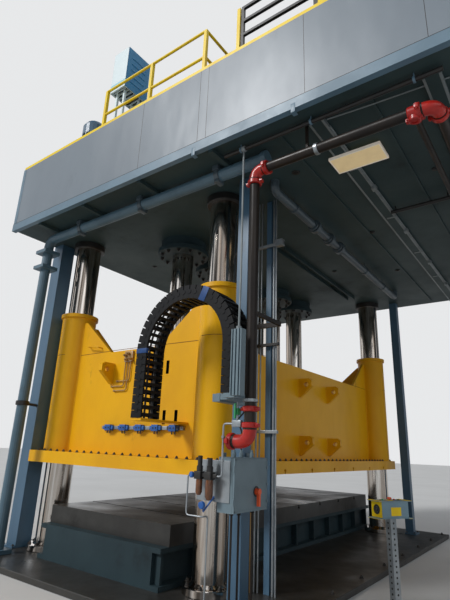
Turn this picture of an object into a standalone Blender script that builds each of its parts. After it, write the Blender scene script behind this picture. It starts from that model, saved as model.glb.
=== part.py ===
"""Four-column hydraulic press with a yellow slide, four cylinders and a roof deck.

Metres, +Z up. The origin is the middle of the four columns on the underside of
the foundation plate. X runs along the short side, Y along the long side.
"""

from math import cos, pi, radians, sin

import bmesh
import bpy
from mathutils import Matrix, Vector

# Driving dimensions
seat_gap = 0.0003  # between pieces that touch
run_gap = 0.002  # between a sliding piece and its bore
stem_gap = 0.0005  # round a button's stem

column_pitch_x = 3.32
column_pitch_y = 6.27
column_x = column_pitch_x / 2
column_y = column_pitch_y / 2
column_radius = 0.225
column_sides = 32
column_foot_radius = 0.34
column_foot_height = 0.09
column_end = 0.33  # stands out of the crown
nut_radius = 0.35
nut_height = 0.26
collar_radius = 0.285
collar_height = 0.12

plate_left = -2.50
plate_right = 2.92
plate_front = -4.25
plate_back = 4.00
plate_thickness = 0.08

bed_half_x = 1.25
bed_half_y = 3.60
bed_top = 0.55
bed_flange = 0.06
bed_web_inset = 0.14
bed_rib_count = 11
bed_end_flange = 0.08  # of the flanges past the last rib
rib_thickness = 0.04

bolster_top = 0.80
bolster_half_y = 3.45
slot_pitch = 0.90
slot_count = 7
slot_neck = 0.036
slot_head = 0.064
slot_neck_depth = 0.035
slot_head_depth = 0.030

slide_bottom = 1.41  # underside of the slide plate as parked
slide_plate_thickness = 0.18
slide_body_inset_x = 0.06  # of its long faces from the column centres
slide_body_reach_y = 0.085  # of its ends past the column centres
slide_body_half_x = column_x - slide_body_inset_x
slide_body_half_y = column_y + slide_body_reach_y
slide_plate_reach_x = 0.31
slide_plate_reach_y = 0.415
slide_plate_half_x = column_x + slide_plate_reach_x
slide_plate_half_y = column_y + slide_plate_reach_y
slide_body_top = 3.20
sleeve_radius = 0.30
sleeve_top = 3.97
sleeve_ring_radius = 0.33
sleeve_ring_height = 0.065
gusset_run = 1.10
gusset_drop = 0.10  # below the ring
gusset_thickness = 0.05
gusset_root = 0.20  # into the body
lug_offset = 0.60  # on the long faces
end_lug_offset = 0.46
lug_reach = 0.26
lug_height = 0.33
lug_thickness = 0.08
lug_hole_radius = 0.045
lug_levels = (1.83, 2.83)
pocket_width = 0.06
pocket_height = 0.20
pocket_depth = 0.12
pockets = ((0.77, 2.86), (0.77, 2.133), (1.00, 2.133))

crown_left = -2.30
crown_right = 2.40
crown_half_y = 3.75
crown_bottom = 5.43
crown_top = 6.43
crown_flange = 0.07
crown_web_inset = 0.12
crown_rib_pitch = 0.74
crown_channel_x = 1.54
crown_channel_width = 0.16
crown_channel_drop = 0.07
crown_channel_front = -1.17
crown_channel_back = 2.35

cylinder_rows = (1.10, 2.22)  # distances from mid-length
cylinder_sides = 24
cylinder_radius = 0.34
cylinder_neck_radius = 0.40
cylinder_neck_height = 0.16
gland_radius = 0.445
gland_height = 0.10
cylinder_shoulder_radius = 0.44
cylinder_shoulder_height = 0.14
cylinder_top = 7.35
ram_radius = 0.198
ram_foot_radius = 0.27
ram_foot_height = 0.07
ram_top = 6.05

deck_right = 5.39
deck_front = -4.39
deck_back = 3.75
deck_floor_thickness = 0.03
soffit_thickness = 0.02
deck_web = 0.02
web_inset = 0.004  # of the webs from the soffit's edges
deck_web_lines = (3.64, 4.90)
soffit_bar_width = 0.18
soffit_bar_depth = 0.05
parapet_top = 6.71
panel_thickness = 0.015
panel_splits = (0.98, 2.10, 3.66)
trim_height = 0.11
trim_reach = 0.05

rail_top = 7.54
rail_mid = 7.055
rail_radius = 0.022
rail_post_side = 0.05
rail_inset = 0.07
rail_posts = (-0.105, 0.98, 2.07)
rail_return = 1.10
gate_left = 2.66
gate_right = 3.85
rail_end = 5.33
gate_bar = 0.04
gate_clear = 0.02
gate_knuckle_radius = 0.0095
gate_pin_offset = 0.015  # of the hinge line behind the middle of the gate
toe_height = 0.05

left_post_x = 2.165
left_post_y = 3.36
left_post_side = 0.27
right_post_x = 2.255
right_post_y = 3.40
right_post_side = 0.17
post_foot = 0.06  # past the post, on the three sides away from the column
post_foot_height = 0.03

strut_x = 2.22
strut_y = -2.67
strut_width = 0.13
strut_depth = 0.08
strut_wall = 0.012

main_pipe_radius = 0.085
main_pipe_x = -1.87
main_pipe_y = -3.88
main_pipe_z = 5.31
main_pipe_end = 2.86
main_pipe_bend = 0.16
pipe_flange = 0.30
pipe_flange_thickness = 0.06
pipe_flange_levels = (4.72, 5.02)

return_pipe_radius = 0.065
return_pipe_x = 2.585
return_pipe_z = 5.27
return_pipe_start = -3.20
return_pipe_stop = 2.40
return_coupling_radius = 0.10
return_couplings = (-1.90, -1.35, -0.92)

water_pipe_radius = 0.05
riser_x = 2.78
riser_bottom = 1.82
riser_outlet_x = 2.55
riser_clip_z = 3.20
riser_clip_height = 0.06
water_pipe_y = -4.02
water_pipe_z = 5.06
water_pipe_end = 4.90
water_pipe_bend = 0.12
water_branch_end = 1.50
water_tee_x = 4.69
water_tee_radius = 0.06
water_tee_length = 0.12
water_branch_radius = 0.03
water_hanger_x = 3.50
water_hangers_y = (-1.60, 0.60)
hanger_side = 0.03
coupling_radius = 0.075
coupling_length = 0.06

carrier_left = 1.15
carrier_radius = 0.695
carrier_centre_z = 2.895
carrier_left_end = 2.06
carrier_right_end = 2.32
carrier_front = -4.125
carrier_width = 0.33
carrier_height = 0.175
carrier_cheek = 0.045
carrier_links = 29
carrier_bar = 0.35  # share of a link that is cross-bar
carrier_shelf_edge = 0.0025  # past the carrier on each side

bracket_width = 0.10
bracket_height = 0.09
bracket_root = 0.04  # past the middle of the post
duct_x = 2.745
duct_front = -4.27
duct_width = 0.13
duct_depth = 0.09
duct_low = 2.27
duct_high = 2.98
duct_flute = 0.018
duct_flutes = 3

manifold_left = -0.51
manifold_right = 1.19
manifold_z = 1.98
manifold_height = 0.05
manifold_depth = 0.05
manifold_block = 0.09
manifold_blocks = 5

cabinet_front = -3.95
cabinet_back = -3.28
cabinet_low = 1.10
cabinet_high = 1.65
cabinet_depth = 0.19
cabinet_wall = 0.012
door_thickness = 0.022
door_gap = 0.0006
handle_y = -3.52
handle_z = 1.30
handle_length = 0.15
handle_width = 0.035
handle_hub = 0.035
handle_reach = 0.05

station_x = 3.553
station_y = -2.038
station_turn = 60.0
station_length = 0.407
station_depth = 0.186
station_height = 0.195
station_base = 1.017
station_lip = 0.053
station_lip_thickness = 0.006
pedestal_side = 0.0885
pedestal_foot = 0.32
pedestal_foot_height = 0.015
palm_radius = 0.030
palm_cap = 0.018
palm_travel = 0.006
stop_radius = 0.027
stop_height = 0.035
stem_radius = 0.012

motor_x = -0.90
motor_y = -3.93
motor_radius = 0.21
motor_height = 1.00
motor_fins = 16
tank_low = (3.05, -0.60)
tank_high = (4.75, 2.60)
tank_height = 1.05
tank_lid = 0.04

cooler_x = -0.145
cooler_y = -3.835
cooler_width = 0.38
cooler_depth = 0.53
cooler_low = 7.76
cooler_high = 8.64
cooler_leg = 0.04
cooler_leg_inset = 0.075
cooler_slats = 7

light_x = 3.81
light_y = -3.18
light_length = 0.66
light_width = 0.35
light_height = 0.04
ballast_low = (3.76, -3.12)
ballast_high = (4.12, -2.98)

plate_top = plate_thickness
slide_body_bottom = slide_bottom + slide_plate_thickness + seat_gap


def clear_scene():
    for old in list(bpy.data.objects):
        bpy.data.objects.remove(old)


def paint(name, colour, roughness=0.45, metallic=0.0):
    material = bpy.data.materials.new(name)
    material.use_nodes = True
    shader = material.node_tree.nodes["Principled BSDF"]
    shader.inputs["Base Color"].default_value = (*colour, 1.0)
    shader.inputs["Roughness"].default_value = roughness
    shader.inputs["Metallic"].default_value = metallic
    return material


def place(mesh_builder, name, material=None, smooth=False):
    """Turns a bmesh into an object, with its faces pointing outwards."""
    bmesh.ops.recalc_face_normals(mesh_builder, faces=mesh_builder.faces)
    mesh = bpy.data.meshes.new(name)
    mesh_builder.to_mesh(mesh)
    mesh_builder.free()
    if smooth:
        mesh.shade_smooth()
        mesh.set_sharp_from_angle(angle=radians(40))
    shape = bpy.data.objects.new(name, mesh)
    bpy.context.scene.collection.objects.link(shape)
    if material:
        mesh.materials.append(material)
    return shape


def block(name, low, high, material=None):
    builder = bmesh.new()
    size = Vector(high) - Vector(low)
    centre = (Vector(high) + Vector(low)) / 2
    bmesh.ops.create_cube(builder, size=1.0)
    bmesh.ops.scale(builder, vec=size, verts=builder.verts)
    bmesh.ops.translate(builder, vec=centre, verts=builder.verts)
    return place(builder, name, material)


def prism(name, outline, low, high, axis="Z", material=None):
    """Extrudes a closed outline along an axis. The outline holds the other two axes in X, Y, Z order."""
    order = {"X": (2, 0, 1), "Y": (0, 2, 1), "Z": (0, 1, 2)}[axis]
    builder = bmesh.new()
    corners = []
    for a, b in outline:
        point = (a, b, low)
        corners.append(builder.verts.new([point[i] for i in order]))
    face = builder.faces.new(corners)
    raised = bmesh.ops.extrude_face_region(builder, geom=[face])
    tops = [item for item in raised["geom"] if isinstance(item, bmesh.types.BMVert)]
    shift = Vector([(0, 0, high - low)[i] for i in order])
    bmesh.ops.translate(builder, vec=shift, verts=tops)
    return place(builder, name, material)


def turned(name, profile, centre=(0, 0, 0), sides=24, axis="Z", material=None):
    """Spins a closed profile of (radius, height) points about an axis through the centre."""
    builder = bmesh.new()
    rings = []
    for radius, height in profile:
        if radius == 0:
            rings.append([builder.verts.new((0, 0, height))] * sides)
            continue
        ring = []
        for step in range(sides):
            angle = 2 * pi * (step + 0.5) / sides
            ring.append(builder.verts.new((radius * cos(angle), radius * sin(angle), height)))
        rings.append(ring)
    for lower, upper in zip(rings, rings[1:] + rings[:1]):
        if lower[0] is lower[1] and upper[0] is upper[1]:
            continue
        for step in range(sides):
            after = (step + 1) % sides
            corners = dict.fromkeys((lower[step], lower[after], upper[after], upper[step]))
            builder.faces.new(list(corners))
    turn = {
        "Z": Matrix.Identity(4),
        "X": Matrix.Rotation(pi / 2, 4, "Y"),
        "Y": Matrix.Rotation(-pi / 2, 4, "X"),
    }[axis]
    builder.transform(Matrix.Translation(centre) @ turn)
    return place(builder, name, material, smooth=True)


def rod(name, centre, radius, length, sides=24, axis="Z", material=None):
    """A plain cylinder that starts at the centre point and runs along the axis."""
    profile = [(0, 0), (radius, 0), (radius, length), (0, length)]
    return turned(name, profile, centre, sides, axis, material)


def helper(shape):
    shape.hide_render = True
    shape.display_type = "WIRE"
    return shape


def combine(shape, others, operation):
    """Joins or cuts a shape with a group of helper solids, by one Boolean modifier."""
    group = bpy.data.collections.new(f"{shape.name}_{operation.lower()}")
    bpy.context.scene.collection.children.link(group)
    for other in others:
        bpy.context.scene.collection.objects.unlink(other)
        group.objects.link(helper(other))
    modifier = shape.modifiers.new(operation.title(), "BOOLEAN")
    modifier.operation = operation
    modifier.solver = "EXACT"
    modifier.operand_type = "COLLECTION"
    modifier.collection = group
    return shape


def join(shape, others):
    return combine(shape, others, "UNION")


def cut(shape, others):
    return combine(shape, others, "DIFFERENCE")


def soften(shape, width):
    bevel = shape.modifiers.new("Bevel", "BEVEL")
    bevel.width = width
    bevel.segments = 1
    bevel.limit_method = "ANGLE"
    bevel.angle_limit = radians(40)
    return shape


def bent_path(points, bend, steps=5):
    """Rounds each inner corner of a route with an arc, and returns the points."""
    route = [Vector(points[0])]
    for before, corner, after in zip(points, points[1:], points[2:]):
        corner = Vector(corner)
        back = (Vector(before) - corner).normalized()
        ahead = (Vector(after) - corner).normalized()
        centre = corner + (back + ahead) * bend
        for step in range(steps + 1):
            angle = pi / 2 * step / steps
            route.append(centre - ahead * bend * cos(angle) - back * bend * sin(angle))
    route.append(Vector(points[-1]))
    return route


def pipe(name, points, radius, bend, sides=12, material=None):
    """Sweeps a round section along a route of right-angled runs."""
    route = bent_path(points, bend)
    builder = bmesh.new()
    rings = []
    side = None
    for index, point in enumerate(route):
        ahead = route[min(index + 1, len(route) - 1)] - route[max(index - 1, 0)]
        ahead.normalize()
        if side is None:
            side = ahead.orthogonal().normalized()
        side = (side - ahead * side.dot(ahead)).normalized()
        other = ahead.cross(side)
        ring = []
        for step in range(sides):
            angle = 2 * pi * step / sides
            offset = side * cos(angle) + other * sin(angle)
            ring.append(builder.verts.new(point + offset * radius))
        rings.append(ring)
    for lower, upper in zip(rings, rings[1:]):
        for step in range(sides):
            after = (step + 1) % sides
            builder.faces.new((lower[step], lower[after], upper[after], upper[step]))
    builder.faces.new(rings[0])
    builder.faces.new(rings[-1])
    return place(builder, name, material, smooth=True)


def corners_of_press():
    """The four column places, with the names of their corners."""
    for x_word, x_sign in (("left", -1), ("right", 1)):
        for y_word, y_sign in (("front", -1), ("rear", 1)):
            yield f"{y_word}_{x_word}", x_sign, y_sign


def cylinder_places():
    for row_sign in (-1, 1):
        for row in cylinder_rows:
            yield row_sign * row


def t_slot_cutters(name, half_length, face, inward):
    """T-shaped cutters that run along X. The face is the slotted plane, inward is +1 or -1."""
    neck = slot_neck / 2
    head = slot_head / 2
    past = face - inward * 0.02
    neck_end = face + inward * slot_neck_depth
    head_end = neck_end + inward * slot_head_depth
    for index in range(slot_count):
        y = (index - (slot_count - 1) / 2) * slot_pitch
        outline = [
            (y - neck, past),
            (y + neck, past),
            (y + neck, neck_end),
            (y + head, neck_end),
            (y + head, head_end),
            (y - head, head_end),
            (y - head, neck_end),
            (y - neck, neck_end),
        ]
        reach = half_length + 0.05
        yield prism(f"{name}_{index}", outline, -reach, reach, "X")


def make_foundation(steel):
    plate = block(
        "foundation_plate",
        (plate_left, plate_front, 0),
        (plate_right, plate_back, plate_top),
        steel,
    )
    soften(plate, 0.008)


def make_bed(blue):
    """A welded box: wide flanges above and below, and webs set in between them with ribs."""
    low = plate_top + seat_gap
    web = bed_half_x - bed_web_inset
    section = [
        (-bed_half_x, low),
        (bed_half_x, low),
        (bed_half_x, low + bed_flange),
        (web, low + bed_flange),
        (web, bed_top - bed_flange),
        (bed_half_x, bed_top - bed_flange),
        (bed_half_x, bed_top),
        (-bed_half_x, bed_top),
        (-bed_half_x, bed_top - bed_flange),
        (-web, bed_top - bed_flange),
        (-web, low + bed_flange),
        (-bed_half_x, low + bed_flange),
    ]
    bed = prism("bed", section, -bed_half_y, bed_half_y, "Y", blue)
    ribs = []
    last = bed_half_y - bed_end_flange
    for index in range(bed_rib_count):
        y = -last + 2 * last * index / (bed_rib_count - 1)
        ribs.append(
            block(
                f"bed_rib_{index}",
                (-bed_half_x + rib_thickness, y - rib_thickness / 2, low + bed_flange / 2),
                (bed_half_x - rib_thickness, y + rib_thickness / 2, bed_top - bed_flange / 2),
            )
        )
    join(bed, ribs)


def make_bolster(steel):
    bolster = block(
        "bolster",
        (-bed_half_x, -bolster_half_y, bed_top + seat_gap),
        (bed_half_x, bolster_half_y, bolster_top),
        steel,
    )
    cut(bolster, list(t_slot_cutters("bolster_slot", bed_half_x, bolster_top, -1)))


def make_columns(chrome, dark):
    """Round columns on a foot ring, with a collar under the crown and a nut on it."""
    low = plate_top + seat_gap
    top = crown_top + column_end
    foot = low + column_foot_height
    column_profile = [
        (0, low),
        (column_foot_radius, low),
        (column_foot_radius, foot),
        (column_radius, foot + 0.03),
        (column_radius, top),
        (0, top),
    ]
    inner = column_radius + seat_gap
    collar_low = crown_bottom - collar_height
    collar_profile = [
        (inner, collar_low),
        (collar_radius, collar_low),
        (collar_radius, crown_bottom - seat_gap),
        (inner, crown_bottom - seat_gap),
    ]
    nut_low = crown_top + seat_gap
    nut_profile = [
        (inner, nut_low),
        (nut_radius, nut_low),
        (nut_radius, nut_low + nut_height),
        (inner, nut_low + nut_height),
    ]
    for corner, x_sign, y_sign in corners_of_press():
        at = (x_sign * column_x, y_sign * column_y, 0)
        turned(f"column_{corner}", column_profile, at, column_sides, "Z", chrome)
        turned(f"column_collar_{corner}", collar_profile, at, column_sides, "Z", dark)
        turned(f"column_nut_{corner}", nut_profile, at, column_sides, "Z", dark)


def make_slide(yellow):
    """The welded slide: a box between four column sleeves, with gussets and lifting lugs."""
    slide = block(
        "slide",
        (-slide_body_half_x, -slide_body_half_y, slide_body_bottom),
        (slide_body_half_x, slide_body_half_y, slide_body_top),
        yellow,
    )
    sleeve_profile = [
        (0, slide_body_bottom),
        (sleeve_radius, slide_body_bottom),
        (sleeve_radius, sleeve_top - sleeve_ring_height),
        (sleeve_ring_radius, sleeve_top - sleeve_ring_height),
        (sleeve_ring_radius, sleeve_top),
        (0, sleeve_top),
    ]
    gusset_top = sleeve_top - sleeve_ring_height - gusset_drop
    pieces = []
    bores = []
    for corner, x_sign, y_sign in corners_of_press():
        x = x_sign * column_x
        y = y_sign * column_y
        pieces.append(turned(f"sleeve_{corner}", sleeve_profile, (x, y, 0), column_sides))
        bores.append(
            rod(
                f"sleeve_bore_{corner}",
                (x, y, slide_body_bottom - 0.1),
                column_radius + run_gap,
                sleeve_top - slide_body_bottom + 0.2,
                column_sides,
            )
        )
        shoulder = sleeve_radius + 0.06
        gusset_x = [
            (x, slide_body_top - gusset_root),
            (x - x_sign * gusset_run, slide_body_top - gusset_root),
            (x - x_sign * gusset_run, slide_body_top),
            (x - x_sign * shoulder, gusset_top),
            (x, gusset_top),
        ]
        face_y = y_sign * slide_body_half_y
        inner_y = face_y - y_sign * gusset_thickness
        pieces.append(
            prism(f"gusset_x_{corner}", gusset_x, min(face_y, inner_y), max(face_y, inner_y), "Y")
        )
        gusset_y = [
            (y, slide_body_top - gusset_root),
            (y - y_sign * gusset_run, slide_body_top - gusset_root),
            (y - y_sign * gusset_run, slide_body_top),
            (y - y_sign * shoulder, gusset_top),
            (y, gusset_top),
        ]
        face_x = x_sign * slide_body_half_x
        inner_x = face_x - x_sign * gusset_thickness
        pieces.append(
            prism(f"gusset_y_{corner}", gusset_y, min(face_x, inner_x), max(face_x, inner_x), "X")
        )
    holes = []
    for index, (piece, hole) in enumerate(lifting_lugs()):
        pieces.append(piece)
        holes.append(hole)
    for index, (x, z) in enumerate(pockets):
        half_x, half_z = pocket_width / 2, pocket_height / 2
        holes.append(
            block(
                f"pocket_{index}",
                (x - half_x, -slide_body_half_y - 0.05, z - half_z),
                (x + half_x, -slide_body_half_y + pocket_depth, z + half_z),
            )
        )
    shelf_half = carrier_height / 2 + carrier_shelf_edge
    pieces.append(
        block(
            "carrier_shelf",
            (carrier_left - shelf_half, carrier_front + 0.01, carrier_left_end - 0.03),
            (carrier_left + shelf_half, -slide_body_half_y + 0.02, carrier_left_end - seat_gap),
        )
    )
    join(slide, pieces)
    cut(slide, bores + holes)


def lifting_lugs():
    """Pairs of a lug plate and the cutter of its hole, on all four faces of the slide."""
    low, high = lug_levels
    for side in (-1, 1):
        for end in (-1, 1):
            offset = end * end_lug_offset
            yield lug(f"lug_end_{side}_{end}", "X", side, slide_body_half_y, offset, high)
            for level in lug_levels:
                offset = end * lug_offset
                yield lug(f"lug_side_{side}_{end}_{level}", "Y", side, slide_body_half_x, offset, level)


def lug(name, axis, side, face, offset, level):
    """A plate whose thickness lies along the axis, with a sloped underside and one hole."""
    root = side * (face - 0.03)
    tip = side * (face + lug_reach)
    half = lug_height / 2
    outline = [
        (root, level - half),
        (side * (face + 0.03), level - half),
        (tip, level + half - 0.14),
        (tip, level + half - 0.04),
        (side * (face + lug_reach - 0.05), level + half),
        (root, level + half),
    ]
    plate = prism(name, outline, offset - lug_thickness / 2, offset + lug_thickness / 2, axis)
    out = side * (face + lug_reach - 0.10)
    height = level + half - 0.11
    start = offset - lug_thickness
    centre = (start, out, height) if axis == "X" else (out, start, height)
    hole = rod(name + "_hole", centre, lug_hole_radius, 2 * lug_thickness, 12, axis)
    return plate, hole


def make_slide_plate(yellow):
    """The T-slotted plate bolted under the slide. It is cut round the columns."""
    plate = block(
        "slide_plate",
        (-slide_plate_half_x, -slide_plate_half_y, slide_bottom),
        (slide_plate_half_x, slide_plate_half_y, slide_bottom + slide_plate_thickness),
        yellow,
    )
    bores = []
    for corner, x_sign, y_sign in corners_of_press():
        bores.append(
            rod(
                f"plate_bore_{corner}",
                (x_sign * column_x, y_sign * column_y, slide_bottom - 0.1),
                column_radius + run_gap,
                slide_plate_thickness + 0.2,
                column_sides,
            )
        )
    slots = t_slot_cutters("slide_slot", slide_plate_half_x, slide_bottom, 1)
    cut(plate, bores + list(slots))


def make_rams(chrome):
    low = slide_body_top + seat_gap
    foot = low + ram_foot_height
    profile = [
        (0, low),
        (ram_foot_radius, low),
        (ram_foot_radius, foot),
        (ram_radius, foot),
        (ram_radius, ram_top),
        (0, ram_top),
    ]
    for number, y in enumerate(cylinder_places(), 1):
        turned(f"ram_{number}", profile, (0, y, 0), cylinder_sides, "Z", chrome)


def make_cylinders(blue):
    """Barrels through the crown: gland and neck below it, shoulder ring and cap above it."""
    neck_top = crown_bottom - seat_gap
    neck_low = crown_bottom - cylinder_neck_height
    gland_low = neck_low - gland_height
    shoulder_low = crown_top + seat_gap
    shoulder_top = shoulder_low + cylinder_shoulder_height
    bore = ram_radius + run_gap
    profile = [
        (bore, gland_low),
        (gland_radius, gland_low),
        (gland_radius, neck_low),
        (cylinder_neck_radius, neck_low),
        (cylinder_neck_radius, neck_top),
        (cylinder_radius, neck_top),
        (cylinder_radius, shoulder_low),
        (cylinder_shoulder_radius, shoulder_low),
        (cylinder_shoulder_radius, shoulder_top),
        (cylinder_radius, shoulder_top),
        (cylinder_radius, cylinder_top - 0.06),
        (cylinder_radius - 0.06, cylinder_top),
        (0, cylinder_top),
        (0, cylinder_top - 0.10),
        (bore, cylinder_top - 0.10),
    ]
    for number, y in enumerate(cylinder_places(), 1):
        turned(f"cylinder_{number}", profile, (0, y, 0), cylinder_sides, "Z", blue)


def make_crown(blue):
    """The crown box: flange plates above and below, set-in webs with ribs, and eight bores."""
    left = crown_left
    right = crown_right
    web_left = left + crown_web_inset
    web_right = right - crown_web_inset
    lower = crown_bottom + crown_flange
    upper = crown_top - crown_flange
    section = [
        (left, crown_bottom),
        (right, crown_bottom),
        (right, lower),
        (web_right, lower),
        (web_right, upper),
        (right, upper),
        (right, crown_top),
        (left, crown_top),
        (left, upper),
        (web_left, upper),
        (web_left, lower),
        (left, lower),
    ]
    crown = prism("crown", section, -crown_half_y, crown_half_y, "Y", blue)
    ribs = []
    count = int((2 * crown_half_y) // crown_rib_pitch)
    for index in range(count + 1):
        y = (index - count / 2) * crown_rib_pitch
        ribs.append(
            block(
                f"crown_rib_{index}",
                (left + rib_thickness, y - rib_thickness / 2, lower - 0.02),
                (right - rib_thickness, y + rib_thickness / 2, upper + 0.02),
            )
        )
    for sign in (-1, 1):
        middle = crown_channel_x + sign * crown_channel_width / 2
        ribs.append(
            block(
                f"crown_channel_{sign}",
                (middle - 0.01, crown_channel_front, crown_bottom - crown_channel_drop),
                (middle + 0.01, crown_channel_back, crown_bottom + 0.02),
            )
        )
    height = crown_top - crown_bottom
    bores = []
    for corner, x_sign, y_sign in corners_of_press():
        bores.append(
            rod(
                f"crown_bore_{corner}",
                (x_sign * column_x, y_sign * column_y, crown_bottom - 0.1),
                column_radius + seat_gap,
                height + 0.2,
                column_sides,
            )
        )
    for number, y in enumerate(cylinder_places(), 1):
        bores.append(
            rod(
                f"crown_cylinder_bore_{number}",
                (0, y, crown_bottom - 0.1),
                cylinder_radius + seat_gap,
                height + 0.2,
                cylinder_sides,
            )
        )
    join(crown, ribs)
    cut(crown, bores)


def deck_outline(edge):
    """The L-shaped plan of the deck: a walk along the front and a platform on the right."""
    return [
        (crown_left, deck_front + edge),
        (deck_right - edge, deck_front + edge),
        (deck_right - edge, deck_back - edge),
        (crown_right + seat_gap, deck_back - edge),
        (crown_right + seat_gap, -crown_half_y - seat_gap),
        (crown_left, -crown_half_y - seat_gap),
    ]


def make_deck(blue, steel):
    edge = panel_thickness + seat_gap
    floor_low = crown_top - deck_floor_thickness
    prism("deck_floor", deck_outline(edge), floor_low, crown_top, "Z", steel)
    low = crown_bottom
    high = floor_low - seat_gap
    frame = prism("deck_frame", deck_outline(edge), low, low + soffit_thickness, "Z", blue)
    webs = []
    front = deck_front + edge
    back = deck_back - edge
    inner_front = -crown_half_y - seat_gap
    inset = web_inset
    first = crown_right + seat_gap + inset
    last = deck_right - edge - deck_web - inset
    start = front + inset + deck_web / 2
    for index, x in enumerate((first, *deck_web_lines, last)):
        webs.append(
            block(f"deck_web_{index}", (x, start, low + 0.01), (x + deck_web, back - inset, high))
        )
    for index, x in enumerate((crown_left + inset, 0.0, rail_posts[1])):
        webs.append(
            block(
                f"walk_web_{index}", (x, start, low + 0.01), (x + deck_web, inner_front - inset, high)
            )
        )
    webs.append(
        block(
            "edge_web",
            (crown_left + 2 * inset, front + inset, low + 0.01),
            (last + deck_web / 2, front + inset + deck_web, high - seat_gap),
        )
    )
    ribs = []
    for index, x in enumerate(deck_web_lines):
        ribs.append(
            block(
                f"soffit_bar_{index}",
                (x - soffit_bar_width / 2, front + 0.3, low - soffit_bar_depth),
                (x + soffit_bar_width / 2, back - 0.1, low + 0.01),
            )
        )
    join(frame, webs + ribs)


def make_panels(grey, blue):
    """Flat cladding of the deck, split where its seams show, and its edge trim."""
    low = crown_bottom + seat_gap
    inner = deck_front + panel_thickness
    edges = (crown_left - panel_thickness, *panel_splits, deck_right)
    for number, (start, stop) in enumerate(zip(edges, edges[1:]), 1):
        block(
            f"front_panel_{number}",
            (start + seat_gap, deck_front, low),
            (stop - seat_gap, inner, parapet_top),
            grey,
        )
    block(
        "right_panel",
        (deck_right - panel_thickness, inner + seat_gap, low),
        (deck_right, deck_back, parapet_top),
        grey,
    )
    block(
        "rear_panel",
        (crown_right + seat_gap, deck_back - panel_thickness, low),
        (deck_right - panel_thickness - seat_gap, deck_back, parapet_top),
        grey,
    )
    trim = trim_height
    outer = deck_front - seat_gap
    section = [
        (outer - 0.012, low - 0.03),
        (inner + trim_reach, low - 0.03),
        (inner + trim_reach, crown_bottom - seat_gap),
        (outer, crown_bottom - seat_gap),
        (outer, crown_bottom + trim),
        (outer - 0.012, crown_bottom + trim),
    ]
    prism("deck_edge_trim", section, edges[0], deck_right, "X", blue)


def make_handrail(yellow):
    """Posts and two rails on the deck edge, joined by a toe strip on the parapet."""
    y = deck_front + panel_thickness + rail_inset
    half = rail_post_side / 2
    low = crown_top + seat_gap
    strip_low = parapet_top + seat_gap
    rail = block(
        "handrail",
        (crown_left, deck_front, strip_low),
        (deck_right, y + half, strip_low + toe_height),
        yellow,
    )
    pieces = []
    post_lines = rail_posts + (gate_left, gate_right, rail_end)
    for index, x in enumerate(post_lines):
        pieces.append(
            block(f"rail_post_{index}", (x - half, y - half, low), (x + half, y + half, rail_top))
        )
    for level in (rail_mid, rail_top):
        first, last = rail_posts[0], rail_posts[-1]
        pieces.append(rod(f"rail_front_{level}", (first, y, level), rail_radius, last - first, 8, "X"))
        pieces.append(rod(f"rail_return_{level}", (last, y, level), rail_radius, rail_return, 8, "Y"))
        pieces.append(
            rod(f"rail_right_{level}", (gate_right, y, level), rail_radius, rail_end - gate_right, 8, "X")
        )
    far = y + rail_return
    pieces.append(
        block(
            "rail_return_post",
            (rail_posts[-1] - half, far - half, low),
            (rail_posts[-1] + half, far + half, rail_top + rail_radius),
        )
    )
    join(rail, pieces)


def make_gate(black):
    """A framed gate between the two gate posts, hinged on the left one."""
    y = deck_front + panel_thickness + rail_inset
    half = rail_post_side / 2
    left = gate_left + half + gate_clear
    right = gate_right - half - gate_clear
    low = parapet_top + toe_height + gate_clear
    bar = gate_bar
    thick = gate_bar / 2
    gate = block("deck_gate", (left, y - thick, low), (right, y + thick, rail_top), black)
    windows = []
    rows = 3
    height = (rail_top - low - bar) / rows
    for row in range(rows):
        bottom = low + bar + row * height
        windows.append(
            block(
                f"gate_window_{row}",
                (left + bar, y - 2 * thick, bottom),
                (right - bar, y + 2 * thick, bottom + height - bar),
            )
        )
    cut(gate, windows)
    hinge_x = gate_left + half + seat_gap + gate_knuckle_radius
    hinge_y = y + gate_pin_offset
    pins = []
    for level in (low + 0.12, rail_top - 0.18):
        pins.append(
            rod(f"gate_knuckle_{level}", (hinge_x, hinge_y, level), gate_knuckle_radius, 0.06, 12)
        )
        pins.append(
            block(
                f"gate_leaf_{level}",
                (hinge_x, hinge_y - 0.004, level + 0.005),
                (left + bar / 2, hinge_y + 0.004, level + 0.055),
            )
        )
    join(gate, pins)


def make_posts(blue):
    """Square posts from the foundation plate to the crown and deck, with foot plates."""
    low = plate_top + seat_gap
    high = crown_bottom - seat_gap
    for corner, x_sign, y_sign in corners_of_press():
        side = left_post_side if x_sign < 0 else right_post_side
        x = -left_post_x if x_sign < 0 else right_post_x
        y = y_sign * (left_post_y if x_sign < 0 else right_post_y)
        half = side / 2
        post = block(f"post_{corner}", (x - half, y - half, low), (x + half, y + half, high), blue)
        inner = x - x_sign * half
        outer = x + x_sign * (half + post_foot)
        foot = half + post_foot
        join(
            post,
            [
                block(
                    f"post_foot_{corner}",
                    (min(inner, outer), y - foot, low),
                    (max(inner, outer), y + foot, low + post_foot_height),
                )
            ],
        )


def make_strut(blue):
    """An open channel that carries the conduits beside the near post."""
    half = strut_width / 2
    wall = strut_wall
    x = strut_x
    outline = [
        (x - strut_depth / 2, strut_y - half),
        (x + strut_depth / 2, strut_y - half),
        (x + strut_depth / 2, strut_y - half + wall),
        (x - strut_depth / 2 + wall, strut_y - half + wall),
        (x - strut_depth / 2 + wall, strut_y + half - wall),
        (x + strut_depth / 2, strut_y + half - wall),
        (x + strut_depth / 2, strut_y + half),
        (x - strut_depth / 2, strut_y + half),
    ]
    prism("utility_channel", outline, plate_top + seat_gap, crown_bottom - seat_gap, "Z", blue)


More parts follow.
